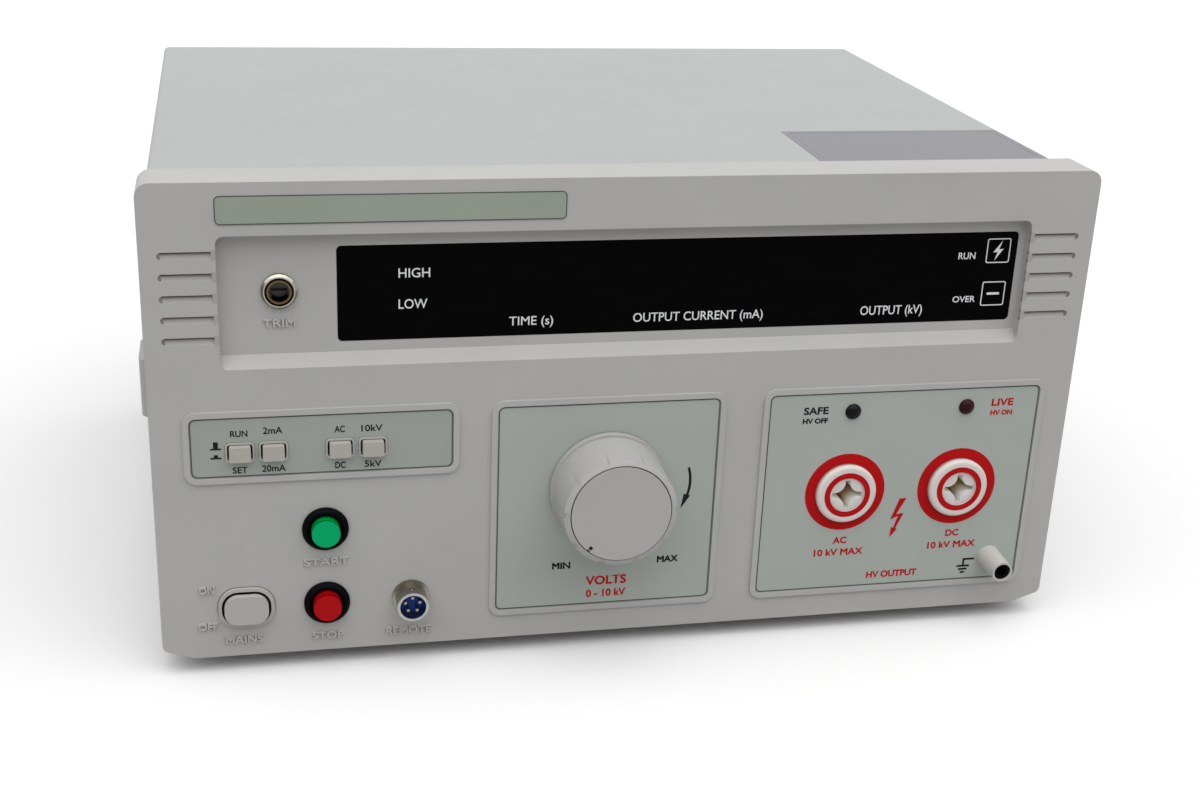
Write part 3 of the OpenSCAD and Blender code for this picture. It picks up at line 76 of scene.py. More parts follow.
def coords(nt, scale=(1, 1, 1)):
    tc = nt.nodes.new("ShaderNodeTexCoord")
    mp = nt.nodes.new("ShaderNodeMapping")
    mp.inputs["Scale"].default_value = scale
    nt.links.new(tc.outputs["Object"], mp.inputs["Vector"])
    return mp.outputs["Vector"]


def split(nt, vec):
    """The x, y and z of a vector."""
    sep = nt.nodes.new("ShaderNodeSeparateXYZ")
    nt.links.new(vec, sep.inputs[0])
    return sep.outputs[0], sep.outputs[1], sep.outputs[2]


def noise(nt, vec, scale, detail=3.0):
    n = nt.nodes.new("ShaderNodeTexNoise")
    n.inputs["Scale"].default_value = scale
    n.inputs["Detail"].default_value = detail
    n.inputs["Roughness"].default_value = NOISE_ROUGHNESS
    nt.links.new(vec, n.inputs["Vector"])
    return n.outputs["Fac"]


def ramp(nt, fac, stops):
    r = nt.nodes.new("ShaderNodeValToRGB")
    el = r.color_ramp.elements
    while len(el) < len(stops):
        el.new(0.5)
    for e, (pos, col) in zip(el, stops):
        e.position = pos
        e.color = (*col, 1)
    nt.links.new(fac, r.inputs["Fac"])
    return r.outputs["Color"]


def blend(nt, fac, a, b):
    mix = nt.nodes.new("ShaderNodeMixRGB")
    nt.links.new(fac, mix.inputs["Fac"])
    nt.links.new(a, mix.inputs["Color1"])
    nt.links.new(b, mix.inputs["Color2"])
    return mix.outputs["Color"]


def to_range(nt, fac, low, high):
    r = nt.nodes.new("ShaderNodeMapRange")
    r.inputs["To Min"].default_value = low
    r.inputs["To Max"].default_value = high
    nt.links.new(fac, r.inputs["Value"])
    return r.outputs["Result"]


def math_node(nt, op, *values):
    n = nt.nodes.new("ShaderNodeMath")
    n.operation = op
    for i, v in enumerate(values):
        if isinstance(v, (int, float)):
            n.inputs[i].default_value = v
        else:
            nt.links.new(v, n.inputs[i])
    return n.outputs["Value"]


def ripple(nt, phase):
    """Sine of a phase, from 0 to 1."""
    return math_node(nt, "ADD", math_node(nt, "MULTIPLY", math_node(nt, "SINE", phase), 0.5), 0.5)


def inward(nt, vec, node, depth):
    """0 at a node's front, 1 at a depth behind it."""
    return math_node(nt, "MULTIPLY", math_node(nt, "SUBTRACT", split(nt, vec)[1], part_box(node)[0].y),
                     1 / (depth * MM))


def off_axis(nt, node):
    """Distances in x and z from the axis of a round node, in metres."""
    low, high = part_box(node)
    x, _, z = split(nt, coords(nt))
    return (math_node(nt, "SUBTRACT", x, (low.x + high.x) / 2),
            math_node(nt, "SUBTRACT", z, (low.z + high.z) / 2))


def bump(nt, bsdf, height, depth):
    b = nt.nodes.new("ShaderNodeBump")
    b.inputs["Strength"].default_value = 1.0
    b.inputs["Distance"].default_value = depth * MM
    nt.links.new(height, b.inputs["Height"])
    nt.links.new(b.outputs["Normal"], bsdf.inputs["Normal"])


def shade(c, k):
    return tuple(v * k for v in c)


def moulded(name, colour, rough, grain, depth, vary, specular=0.4):
    """Moulded or painted surface: fine grain, slight colour drift and uneven gloss."""
    drift_scale, gloss_scale, uneven = 28.0, 160.0, 0.06
    m, nt, b = shader(name)
    vec = coords(nt)
    tones = [(0.3, shade(colour, 1 - vary)), (0.7, shade(colour, 1 + vary))]
    nt.links.new(ramp(nt, noise(nt, vec, drift_scale, 4.0), tones), b.inputs["Base Color"])
    gloss = to_range(nt, noise(nt, vec, gloss_scale), rough - uneven, rough + uneven)
    nt.links.new(gloss, b.inputs["Roughness"])
    bump(nt, b, noise(nt, vec, grain, 2.0), depth)
    b.inputs["Specular IOR Level"].default_value = specular
    return m


def metal(name, colour, rough, stretch, grain, depth=0.006):
    """Bare or plated metal with fine drawn lines and uneven polish."""
    dull, smoother, rougher = 0.86, 0.07, 0.1
    m, nt, b = shader(name)
    lines = noise(nt, coords(nt, stretch), grain, 4.0)
    nt.links.new(ramp(nt, lines, [(0.25, shade(colour, dull)), (0.75, colour)]), b.inputs["Base Color"])
    nt.links.new(to_range(nt, lines, rough - smoother, rough + rougher), b.inputs["Roughness"])
    bump(nt, b, lines, depth)
    b.inputs["Metallic"].default_value = 1.0
    return m


def banded(name, dark, light, axis, pitch, rough, metallic, depth):
    """Layers or turns that repeat along one axis, pitch in mm."""
    m, nt, b = shader(name)
    along = split(nt, coords(nt))[axis]
    fac = ripple(nt, math_node(nt, "MULTIPLY", along, 2 * math.pi / (pitch * MM)))
    nt.links.new(ramp(nt, fac, [(0.1, dark), (0.8, light)]), b.inputs["Base Color"])
    b.inputs["Roughness"].default_value = rough
    b.inputs["Metallic"].default_value = metallic
    bump(nt, b, fac, depth)
    return m


BEZEL = (0.474, 0.471, 0.458)
INSULATOR = (0.745, 0.70, 0.665)
NICKEL = (0.36, 0.335, 0.285)
PLAIN, DRAWN, BRUSHED = (1, 1, 1), (1, 8, 1), (14, 1, 1)    # how the lines of a metal are stretched
MAT = {
    # Moulded: colour, roughness, grain, its depth, drift of the colour, specular level
    "bezel": moulded("bezel_plastic", BEZEL, 0.5, 1900.0, 0.022, 0.03, 0.25),
    # lettering a little lighter than the bezel plastic: painted highlight
    "relief": moulded("bezel_relief_painted_highlight", (0.492, 0.488, 0.472), 0.45, 1900.0, 0.012, 0.03, 0.25),
    # dark line under the raised words and round the power key's collar: painted shadow
    "painted_shadow_line": moulded("relief_painted_shadow", (0.17, 0.16, 0.135), 0.6, 1900.0, 0.01, 0.1, 0.05),
    # slot floors in a darker copy of the bezel plastic: painted shade
    "slot": moulded("slot_floor", shade(BEZEL, 0.84), 0.5, 1900.0, 0.022, 0.03, 0.2),
    # dark strip under the slots' top edges: painted shadow
    "slot_painted_shadow": moulded("slot_painted_shadow", (0.115, 0.085, 0.075), 0.6, 1900.0, 0.01, 0.1, 0.05),
    "key": moulded("key_plastic", (0.455, 0.432, 0.396), 0.4, 2600.0, 0.012, 0.03, 0.3),
    "cover": moulded("cover_paint", (0.412, 0.424, 0.418), 0.5, 1300.0, 0.03, 0.02, 0.25),
    "film": moulded("overlay_film", (0.425, 0.460, 0.426), 0.45, 4200.0, 0.008, 0.02, 0.2),
    # selector overlay in a darker copy of the overlay film: painted shade
    "film_shaded": moulded("selector_film_painted_shade", (0.368, 0.402, 0.362), 0.45, 4200.0, 0.008, 0.02, 0.2),
    # outline of the name strip, and dark lines inside the overlays' edges: painted shade
    "film_line": moulded("film_line", (0.085, 0.090, 0.072), 0.5, 3000.0, 0.006, 0.1, 0.1),
    "plate": moulded("plate_film", (0.338, 0.380, 0.324), 0.45, 3600.0, 0.01, 0.03, 0.2),
    "rubber": moulded("foot_rubber", (0.022, 0.022, 0.023), 0.75, 1500.0, 0.05, 0.2, 0.3),
    "vinyl": moulded("strap_vinyl", (0.20, 0.205, 0.21), 0.55, 900.0, 0.09, 0.08, 0.35),
    "grip": moulded("handle_plastic", (0.42, 0.42, 0.41), 0.45, 1700.0, 0.03, 0.03),
    "black": moulded("black_plastic", (0.0035, 0.0035, 0.0045), 0.35, 2400.0, 0.015, 0.15, 0.02),
    # black rings in gaps and grooves round the power key, the adjuster and the push buttons: painted shade
    "painted_shade": moulded("painted_shade_black", (0.003, 0.003, 0.003), 0.6, 2400.0, 0.01, 0.2, 0.05),
    "blue": moulded("insert_blue", (0.006, 0.045, 0.36), 0.35, 2000.0, 0.01, 0.1, 0.25),
    "knob": moulded("knob_plastic", (0.455, 0.448, 0.437), 0.38, 2600.0, 0.01, 0.02, 0.3),
    "white": moulded("socket_insulator", INSULATOR, 0.34, 2600.0, 0.008, 0.025, 0.3),
    "post": moulded("post_insulator", (0.53, 0.515, 0.49), 0.36, 2600.0, 0.008, 0.025, 0.3),
    "smoke": moulded("lamp_smoke", (0.002, 0.002, 0.004), 0.12, 900.0, 0.002, 0.2, 0.10),
    "lamp_red": moulded("lamp_red", (0.024, 0.001, 0.003), 0.12, 900.0, 0.002, 0.2, 0.10),
    "print_red": moulded("print_red", (0.49, 0.004, 0.006), 0.5, 3600.0, 0.006, 0.06, 0.1),
    "print_black": moulded("print_black", (0.008, 0.009, 0.009), 0.5, 3600.0, 0.006, 0.15, 0.1),
    "print_white": moulded("print_white", (0.80, 0.81, 0.82), 0.5, 3600.0, 0.006, 0.05, 0.2),
    "oxide": moulded("shaft_oxide", (0.012, 0.011, 0.010), 0.35, 1200.0, 0.01, 0.2, 0.4),
    "gap": moulded("disc_gap", (0.028, 0.014, 0.010), 0.6, 1800.0, 0.01, 0.2, 0.05),
    "carbon": moulded("brush_carbon", (0.03, 0.03, 0.032), 0.6, 1600.0, 0.03, 0.2),
    "potting": moulded("potting_resin", (0.012, 0.012, 0.015), 0.3, 400.0, 0.05, 0.2),
    "part": moulded("board_part_case", (0.035, 0.04, 0.06), 0.4, 1500.0, 0.02, 0.1),
    "sticker_line": moulded("sticker_line", (0.23, 0.23, 0.27), 0.5, 3600.0, 0.006, 0.1, 0.2),
    # Metal: colour, roughness, stretch and scale of its lines, their depth
    "zinc": metal("zinc_steel", (0.60, 0.62, 0.63), 0.36, PLAIN, 260.0, 0.004),
    "screw": metal("screw_steel", (0.63, 0.63, 0.62), 0.3, PLAIN, 900.0),
    "nickel": metal("nickel", NICKEL, 0.17, DRAWN, 700.0, 0.003),
    "brass": metal("brass", (0.69, 0.50, 0.22), 0.27, DRAWN, 700.0),
    "silver": metal("sticker_silver", (0.276, 0.272, 0.296), 0.45, BRUSHED, 220.0, 0.003),
    "pin": metal("pin_gilt", (0.32, 0.285, 0.205), 0.26, DRAWN, 900.0),
    # Banded: dark and light colour, axis, pitch, roughness, metallic, depth
    "iron": banded("core_iron", (0.05, 0.052, 0.055), (0.17, 0.175, 0.18), 1, 0.5, 0.5, 0.4, 0.05),
    "coil": banded("coil_wrap", (0.16, 0.10, 0.035), (0.42, 0.29, 0.11), 2, 2.0, 0.4, 0.0, 0.15),
}


def acrylic():
    """Dark window: near black, glossy, with faint wiping marks."""
    m, nt, b = shader("window_acrylic")
    marks = noise(nt, coords(nt, (1, 1, 3)), 60.0, 5.0)
    nt.links.new(ramp(nt, marks, [(0.3, (0.0006, 0.0006, 0.0008)), (0.8, (0.0016, 0.0016, 0.0022))]),
                 b.inputs["Base Color"])
    nt.links.new(to_range(nt, marks, 0.05, 0.14), b.inputs["Roughness"])
    b.inputs["Specular IOR Level"].default_value = 0.02
    return m


def circuit():
    """Solder mask with tracks and pads under it."""
    m, nt, b = shader("circuit_board")
    v = nt.nodes.new("ShaderNodeTexVoronoi")
    v.distance = "CHEBYCHEV"
    v.feature = "DISTANCE_TO_EDGE"
    v.inputs["Scale"].default_value = 260.0
    nt.links.new(coords(nt), v.inputs["Vector"])
    tracks = ramp(nt, v.outputs["Distance"], [(0.04, (0.02, 0.16, 0.06)), (0.12, (0.008, 0.075, 0.03))])
    nt.links.new(tracks, b.inputs["Base Color"])
    b.inputs["Roughness"].default_value = 0.32
    bump(nt, b, v.outputs["Distance"], 0.03)
    return m


def winding():
    """Copper turns laid radially round the ring."""
    turns = 240.0
    m, nt, b = shader("winding_copper")
    dx, dz = off_axis(nt, "regulator_winding")
    fac = ripple(nt, math_node(nt, "MULTIPLY", math_node(nt, "ARCTAN2", dz, dx), turns))
    nt.links.new(ramp(nt, fac, [(0.1, (0.10, 0.025, 0.008)), (0.8, (0.62, 0.27, 0.12))]),
                 b.inputs["Base Color"])
    b.inputs["Roughness"].default_value = 0.3
    b.inputs["Metallic"].default_value = 0.8
    bump(nt, b, fac, 0.2)
    return m


def insert_white():
    """White face; just inside the star opening a white brighter than the face, a painted highlight, then tan to
    brown deeper in, painted shade.
    """
    opening = 18.0      # depth at which the last tone is reached
    # brighter than the face near the opening's mouth as painted highlight, darker deeper in as painted shade
    tones = [(0.02, INSULATOR), (0.06, (0.95, 0.93, 0.90)), (0.25, (0.95, 0.91, 0.84)),
             (0.46, (0.95, 0.74, 0.44)), (0.75, (0.9, 0.56, 0.22)), (1.0, (0.65, 0.34, 0.12))]
    m, nt, b = shader("insert_insulator")
    vec = coords(nt)
    nt.links.new(ramp(nt, inward(nt, vec, "hv_inserts", opening), tones), b.inputs["Base Color"])
    b.inputs["Subsurface Weight"].default_value = 0.6
    b.inputs["Subsurface Radius"].default_value = (1.0, 0.95, 0.9)
    b.inputs["Subsurface Scale"].default_value = 6 * MM
    nt.links.new(to_range(nt, noise(nt, vec, 300.0), 0.26, 0.4), b.inputs["Roughness"])
    bump(nt, b, noise(nt, vec, 2600.0), 0.008)
    return m


def lens_cap(name, node, lens, body):
    """Push button: the lens at the front, and behind its groove the same plastic in a darker tone, painted
    shade on the cap's side.
    """
    reach = 2.0         # depth over which the two tones are told apart
    m, nt, b = shader(name)
    vec = coords(nt)
    nt.links.new(ramp(nt, inward(nt, vec, node, reach), [(0.40, lens), (0.48, body)]), b.inputs["Base Color"])
    nt.links.new(to_range(nt, noise(nt, vec, 180.0), 0.24, 0.36), b.inputs["Roughness"])
    bump(nt, b, noise(nt, vec, 1800.0), 0.006)
    b.inputs["Specular IOR Level"].default_value = 0.08
    return m


def plated(m, nt, b, zone, first, second, change):
    """Turned and plated metal in two tones: first where zone is below change, second beyond it."""
    soft, low, high = 0.01, 0.8, 1.1
    lines = noise(nt, coords(nt, DRAWN), 700.0, 4.0)
    dull, bright = (ramp(nt, zone, [(change - soft, shade(first, k)), (change + soft, shade(second, k))])
                    for k in (low, high))
    nt.links.new(blend(nt, lines, dull, bright), b.inputs["Base Color"])
    nt.links.new(to_range(nt, lines, 0.1, 0.24), b.inputs["Roughness"])
    bump(nt, b, lines, 0.003)
    b.inputs["Metallic"].default_value = 1.0
    return m


def nut_and_barrel():
    """Polished nut round a barrel darkened to a very dark brown as painted shade, told apart by their distance
    from the middle.
    """
    # the barrel's very dark brown is painted shade
    reach, barrel = 10.0, (0.12, 0.08, 0.036)
    m, nt, b = shader("preset_metal")
    squares = [math_node(nt, "MULTIPLY", d, d) for d in off_axis(nt, "preset_bush")]
    far = math_node(nt, "SQRT", math_node(nt, "ADD", *squares))
    zone = math_node(nt, "MULTIPLY", far, 1 / (reach * MM))
    return plated(m, nt, b, zone, barrel, NICKEL, 0.465)


def plated_shell():
    """Connector shell in two tones of one plating: the rim lighter, a painted highlight, and the barrel behind
    it darker, painted shade.
    """
    # rim lighter than the nickel as painted highlight, barrel darker as painted shade
    reach, rim, barrel = 2.0, (0.42, 0.42, 0.40), (0.27, 0.25, 0.21)
    m, nt, b = shader("shell_plating")
    return plated(m, nt, b, inward(nt, coords(nt), "control_shell", reach), rim, barrel, 0.36)


# lens colour, then the darker colour of the cap's side: painted shade
MAT["green"] = lens_cap("start_green", "start_cap", (0.0, 0.44, 0.155), (0.0, 0.30, 0.05))
MAT["red"] = lens_cap("reset_red", "reset_cap", (0.47, 0.004, 0.006), (0.36, 0.003, 0.004))
MAT["preset"] = nut_and_barrel()
MAT["shell"] = plated_shell()
MAT["window"] = acrylic()
MAT["board"] = circuit()
MAT["winding"] = winding()
MAT["insert"] = insert_white()

# Each node's material and the radius of its broken edges in mm
LOOK = {
    "front_bezel": ("bezel", 0.6), "top_cover": ("cover", 0.0), "chassis_tray": ("zinc", 0.0),
    "rear_panel": ("cover", 0.0), "top_rails": ("zinc", 0.3), "feet": ("rubber", 0.8),
    "case_screws": ("screw", 0.0), "handle_straps": ("vinyl", 0.0), "handle_caps": ("grip", 0.6),
    "display_window": ("window", 0.25), "display_board": ("board", 0.0), "digit_modules": ("black", 0.2),
    "preset_bush": ("preset", 0.2), "preset_shaft": ("oxide", 0.1), "preset_pot": ("zinc", 0.2),
    "selector_overlay": ("film_shaded", 0.0), "selector_key_1": ("key", 0.5), "selector_key_2": ("key", 0.5),
    "selector_key_3": ("key", 0.5), "selector_key_4": ("key", 0.5), "selector_switches": ("black", 0.2),
    "selector_board": ("board", 0.0), "button_bodies": ("black", 0.25), "start_cap": ("green", 0.6),
    "reset_cap": ("red", 0.6), "panel_nuts": ("nickel", 0.2), "power_key": ("bezel", 0.8),
    "power_switch": ("black", 0.3), "control_shell": ("shell", 0.25), "control_insert": ("blue", 0.1),
    "control_pins": ("pin", 0.15), "adjust_overlay": ("film", 0.0), "adjust_knob": ("knob", 0.3),
    "knob_disc": ("knob", 0.25), "knob_screw": ("screw", 0.2), "regulator_shaft": ("screw", 0.2),
    "wiper_arm": ("brass", 0.3), "wiper_brush": ("carbon", 0.2), "regulator_winding": ("winding", 0.0),
    "regulator_bracket": ("zinc", 0.3), "regulator_bush": ("brass", 0.2), "output_overlay": ("film", 0.0),
    "hv_socket_ac": ("white", 0.2), "hv_socket_dc": ("white", 0.2), "hv_inserts": ("insert", 0.15),
    "hv_contacts": ("brass", 0.2), "earth_post": ("post", 0.5), "earth_contact": ("black", 0.2),
    "lamp_safety": ("smoke", 0.0), "lamp_danger": ("lamp_red", 0.0), "hv_core": ("iron", 0.0),
    "hv_coil": ("coil", 0.4), "hv_rectifier": ("potting", 0.5), "main_board": ("board", 0.0),
    "board_standoffs": ("nickel", 0.1), "board_parts": ("part", 0.4), "inlet_body": ("black", 0.3),
    "inlet_pins": ("nickel", 0.2), "fuse_carrier": ("black", 0.3), "earth_stud": ("brass", 0.3),
}
EDGE_STEPS, EDGE_ANGLE = 3, math.radians(40)
for name, (look, edge) in LOOK.items():
    o = NODES[name]
    o.data.materials.clear()
    o.data.materials.append(MAT[look])
    if edge:
        mod = o.modifiers.new("edge", "BEVEL")
        mod.width = edge * MM
        mod.segments = EDGE_STEPS
        mod.limit_method = "ANGLE"
        mod.angle_limit = EDGE_ANGLE


# Pieces made here

def piece(name, bm, look, body="case"):
    me = bpy.data.meshes.new(name)
    bmesh.ops.recalc_face_normals(bm, faces=bm.faces)
    bm.to_mesh(me)
    bm.free()
    o = bpy.data.objects.new(name, me)
    bpy.context.scene.collection.objects.link(o)
    me.materials.append(MAT[look])
    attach(o, body)
    return o


def rrect(cx, cz, w, h, r, n=6):
    pts = []
    for k, (sx, sz) in enumerate(((1, 1), (-1, 1), (-1, -1), (1, -1))):
        for i in range(n + 1):
            a = math.radians(90 * k + 90 * i / n)
            pts.append((cx + sx * (w / 2 - r) + r * math.cos(a), cz + sz * (h / 2 - r) + r * math.sin(a)))
    return pts


def rect(cx, cz, w, h):
    x0, x1, z0, z1 = cx - w / 2, cx + w / 2, cz - h / 2, cz + h / 2
    return [(x0, z0), (x1, z0), (x1, z1), (x0, z1)]


def circle(cx, cz, r, n=72):
    turn = [2 * math.pi * i / n for i in range(n)]
    return [(cx + r * math.cos(a), cz + r * math.sin(a)) for a in turn]


def prism(bm, pts, y0, y1):
    """Flat outline in panel x and z between two depths."""
    front = [bm.verts.new(at(x, y0, z)) for x, z in pts]
    back = [bm.verts.new(at(x, y1, z)) for x, z in pts]
    bm.faces.new(front)
    bm.faces.new(back[::-1])
    for i in range(len(pts)):
        j = (i + 1) % len(pts)
        bm.faces.new((front[j], front[i], back[i], back[j]))


def band(bm, outer, inner, y0, y1):
    """Frame between two outlines with the same number of points."""
    rows = [[bm.verts.new(at(x, y, z)) for x, z in pts] for pts in (outer, inner) for y in (y0, y1)]
    of, ob, jf, jb = rows
    n = len(outer)
    for i in range(n):
        j = (i + 1) % n
        bm.faces.new((of[i], of[j], jf[j], jf[i]))
        bm.faces.new((ob[j], ob[i], jb[i], jb[j]))
        bm.faces.new((of[j], of[i], ob[i], ob[j]))
        bm.faces.new((jf[i], jf[j], jb[j], jb[i]))


def flat_text(text):
    """Flat mesh of a line of letters, one unit high."""
    cu = bpy.data.curves.new("words", "FONT")
    cu.body = text
    cu.size = 1.0
    cu.resolution_u = 3
    ob = bpy.data.objects.new("words", cu)
    bpy.context.scene.collection.objects.link(ob)
    me = bpy.data.meshes.new_from_object(ob.evaluated_get(bpy.context.evaluated_depsgraph_get()))
    bpy.data.objects.remove(ob)
    bpy.data.curves.remove(cu)
    flat = bmesh.new()
    flat.from_mesh(me)
    bpy.data.meshes.remove(me)
    return flat


letter = flat_text("H")
CAP_H = max(v.co.y for v in letter.verts)
letter.free()


def embolden(flat, grow):
    """Moves the outlines of flat letters outward, away from the letters' faces."""
    sharpest = 0.7      # keeps the points of sharp corners short
    normals = {}
    for e in flat.edges:
        if len(e.link_faces) != 1:
            continue
        a, b = (v.co for v in e.verts)
        along = (b - a).normalized()
        side = Vector((-along.z, 0, along.x))
        if side.dot(e.link_faces[0].calc_center_median() - a) > 0:
            side = -side
        for v in e.verts:
            normals.setdefault(v, []).append(side)
    for v, sides in normals.items():
        if len(sides) == 2:
            corner = 1 + sides[0].dot(sides[1])
            v.co += (sides[0] + sides[1]) * grow / max(corner, sharpest)


def words(bm, text, x, z, height, width, y0, y1, weight):
    """Letters with their capitals' middle at panel x, z, between two depths, their strokes grown by weight."""
    flat = flat_text(text)
    xs = [v.co.x for v in flat.verts]
    sx = (width - 2 * weight) / (max(xs) - min(xs))
    sz = (height - 2 * weight) / CAP_H
    mx, mz = (max(xs) + min(xs)) / 2, CAP_H / 2
    for v in flat.verts:
        v.co = at(x + (v.co.x - mx) * sx, y0, z + (v.co.y - mz) * sz)
    embolden(flat, weight * MM)
    solid = bmesh.ops.extrude_face_region(flat, geom=list(flat.faces))
    moved = [v for v in solid["geom"] if isinstance(v, bmesh.types.BMVert)]
    bmesh.ops.translate(flat, vec=Vector((0, (y1 - y0) * MM, 0)), verts=moved)
    me = bpy.data.meshes.new("words")
    flat.to_mesh(me)
    flat.free()
    bm.from_mesh(me)
    bpy.data.meshes.remove(me)


def legend(bm, rows, y0, y1, weight):
    """Lines of lettering: text, middle x and z, height and width."""
    for text, x, z, h, w in rows:
        words(bm, text, x, z, h, w, y0, y1, weight)


INK = 0.06              # thickness of printed ink
SINK = 0.03             # how far ink goes into what carries it
ROOT = 0.05             # how far raised things go into what carries them
FILM_FACE = -0.5        # depth of the overlays' face


def ink(y):
    return y - INK, y + SINK


f0, f1 = ink(FILM_FACE)

# Lettering and push marks of the selector
bm = bmesh.new()
legend(bm, (
    ("RUN", -148.4, 92.4, 2.5, 6.2), ("SET", -148.4, 77.9, 2.5, 5.4),
    ("2mA", -136.25, 93.2, 2.6, 7.0), ("20mA", -136.25, 78.1, 2.6, 8.6),
    ("AC", -112.0, 92.6, 2.6, 3.8), ("DC", -112.0, 78.1, 2.6, 3.8),
    ("10kV", -100.2, 92.5, 2.6, 7.8), ("5kV", -99.9, 78.1, 2.6, 6.3)), f0, f1, 0.07)
PUSH_X, PUSH_BAR, PUSH_BAR_H = -156.85, 3.9, 0.62
for foot, block_w, block_h in ((86.3, 1.7, 2.5), (82.7, 1.5, 1.0)):
    prism(bm, rect(PUSH_X, foot + PUSH_BAR_H / 2, PUSH_BAR, PUSH_BAR_H), f0, f1)
    prism(bm, rect(PUSH_X, foot + PUSH_BAR_H + block_h / 2, block_w, block_h), f0, f1)
piece("selector_print", bm, "print_black")

# Lettering and arrow round the knob
bm = bmesh.new()
legend(bm, (("MIN", -27.0, 30.3, 2.9, 7.3), ("MAX", 16.0, 30.6, 2.9, 8.6)), f0, f1, 0.17)
ARC_X, ARC_Z, ARC_R, ARC_SPAN, ARC_HALF, ARC_STEPS = 3.85, 64.05, 19.45, 17.5, 0.52, 14
ARROW_HEAD = [(23.7, 57.9), (20.0, 52.4), (21.0, 58.8)]
arc = [math.radians(ARC_SPAN - 2 * ARC_SPAN * i / ARC_STEPS) for i in range(ARC_STEPS + 1)]
outer, inner = ([(ARC_X + r * math.cos(a), ARC_Z + r * math.sin(a)) for a in arc]
                for r in (ARC_R + ARC_HALF, ARC_R - ARC_HALF))
prism(bm, outer + ARROW_HEAD + inner[::-1], f0, f1)
piece("adjust_print", bm, "print_black")
bm = bmesh.new()
legend(bm, (("VOLTS", -8.7, 22.9, 3.9, 16.4),), f0, f1, 0.17)
legend(bm, (("0 - 10 kV", -8.6, 17.2, 3.3, 16.0),), f0, f1, 0.13)
piece("adjust_print_red", bm, "print_red")

# Lettering, rings and signs of the output
OUTPUT_WEIGHT = 0.14
FIELD_R, FIELD_BORE = 16.75, 12.4       # red field round each socket
RING_R, RING_BORE = 9.6, 7.25           # red ring on each socket's face
OUTPUT_BOLT = [(111.9, 51.4), (114.8, 51.4), (111.1, 44.4), (114.3, 44.8), (111.4, 38.1), (112.1, 37.6),
               (109.2, 34.1), (109.5, 38.7), (110.4, 38.3), (112.0, 43.6), (108.8, 42.1)]
SOCKETS = [panel_box(n)[:2] for n in ("hv_socket_ac", "hv_socket_dc")]
bm = bmesh.new()
legend(bm, (
    ("AC", 87.9, 34.1, 3.0, 5.8), ("10 kV MAX", 87.8, 28.8, 3.0, 21.0), ("DC", 136.6, 34.5, 3.0, 5.8),
    ("10 kV MAX", 136.9, 29.2, 3.0, 21.0), ("HV OUTPUT", 112.0, 17.4, 3.0, 22.0),
    ("LIVE", 151.2, 91.8, 3.1, 9.4), ("HV ON", 151.2, 87.3, 2.2, 9.4)), f0, f1, OUTPUT_WEIGHT)
prism(bm, OUTPUT_BOLT, f0, f1)
for x, z in SOCKETS:
    band(bm, circle(x, z, FIELD_R), circle(x, z, FIELD_BORE), f0, f1)
piece("output_print_red", bm, "print_red")
bm = bmesh.new()
s0, s1 = ink(panel_box("hv_socket_ac")[4])
for x, z in SOCKETS:
    band(bm, circle(x, z, RING_R), circle(x, z, RING_BORE), s0, s1)
piece("socket_rings", bm, "print_red")
bm = bmesh.new()
legend(bm, (("SAFE", 72.7, 91.4, 3.1, 10.2), ("HV OFF", 72.7, 87.1, 2.2, 10.4)), f0, f1, OUTPUT_WEIGHT)


def earth_sign(bm, x, z, y0, y1):
    """Three bars under a stem, with a lead to the right."""
    thick, step, stem, lead = 0.84, 1.45, 3.1, 4.7
    for i, w in enumerate((5.6, 3.7, 1.9)):
        prism(bm, rect(x, z - i * step, w, thick), y0, y1)
    prism(bm, rect(x, z + (thick + stem) / 2, thick, stem), y0, y1)
    prism(bm, rect(x + lead / 2, z + stem, lead, thick), y0, y1)


earth_sign(bm, 143.4, 18.7, f0, f1)
piece("output_print", bm, "print_black")

# Lettering and signs of the display window
SIGN_X, RUN_Z, OVER_Z = 143.4, 153.4, 135.9
SIGN_W, SIGN_H, SIGN_R, SIGN_LINE, SIGN_R_IN = 9.8, 9.9, 0.8, 0.4, 0.45
BAR_W, BAR_H = 5.2, 0.9
RUN_BOLT = [(144.8, 157.4), (141.3, 152.7), (143.2, 152.9), (142.1, 149.4), (145.5, 154.1), (143.6, 153.9)]
w0, w1 = ink(WINDOW_FACE)
bm = bmesh.new()
legend(bm, (
    ("HIGH", -83.9, 150.3, 3.5, 11.5), ("LOW", -84.4, 138.5, 3.6, 10.5), ("TIME (s)", -40.5, 130.6, 3.4, 16.6),
    ("OUTPUT CURRENT (mA)", 23.9, 130.5, 3.5, 51.0), ("OUTPUT (kV)", 101.6, 130.4, 3.6, 25.5),
    ("RUN", 130.5, 151.6, 2.7, 7.0), ("OVER", 131.4, 133.9, 2.5, 9.4)), w0, w1, 0.03)
for z in (RUN_Z, OVER_Z):
    inside = rrect(SIGN_X, z, SIGN_W - 2 * SIGN_LINE, SIGN_H - 2 * SIGN_LINE, SIGN_R_IN)
    band(bm, rrect(SIGN_X, z, SIGN_W, SIGN_H, SIGN_R), inside, w0, w1)
prism(bm, RUN_BOLT, w0, w1)
prism(bm, rect(SIGN_X, OVER_Z, BAR_W, BAR_H), w0, w1)
piece("window_print", bm, "print_white")

# Raised lettering of the bezel, a little lighter than the bezel as a painted highlight, with a painted shadow
# at its foot: a dark copy of the words set down and to the left
RELIEF, RELIEF_WEIGHT = 0.8, 0.15
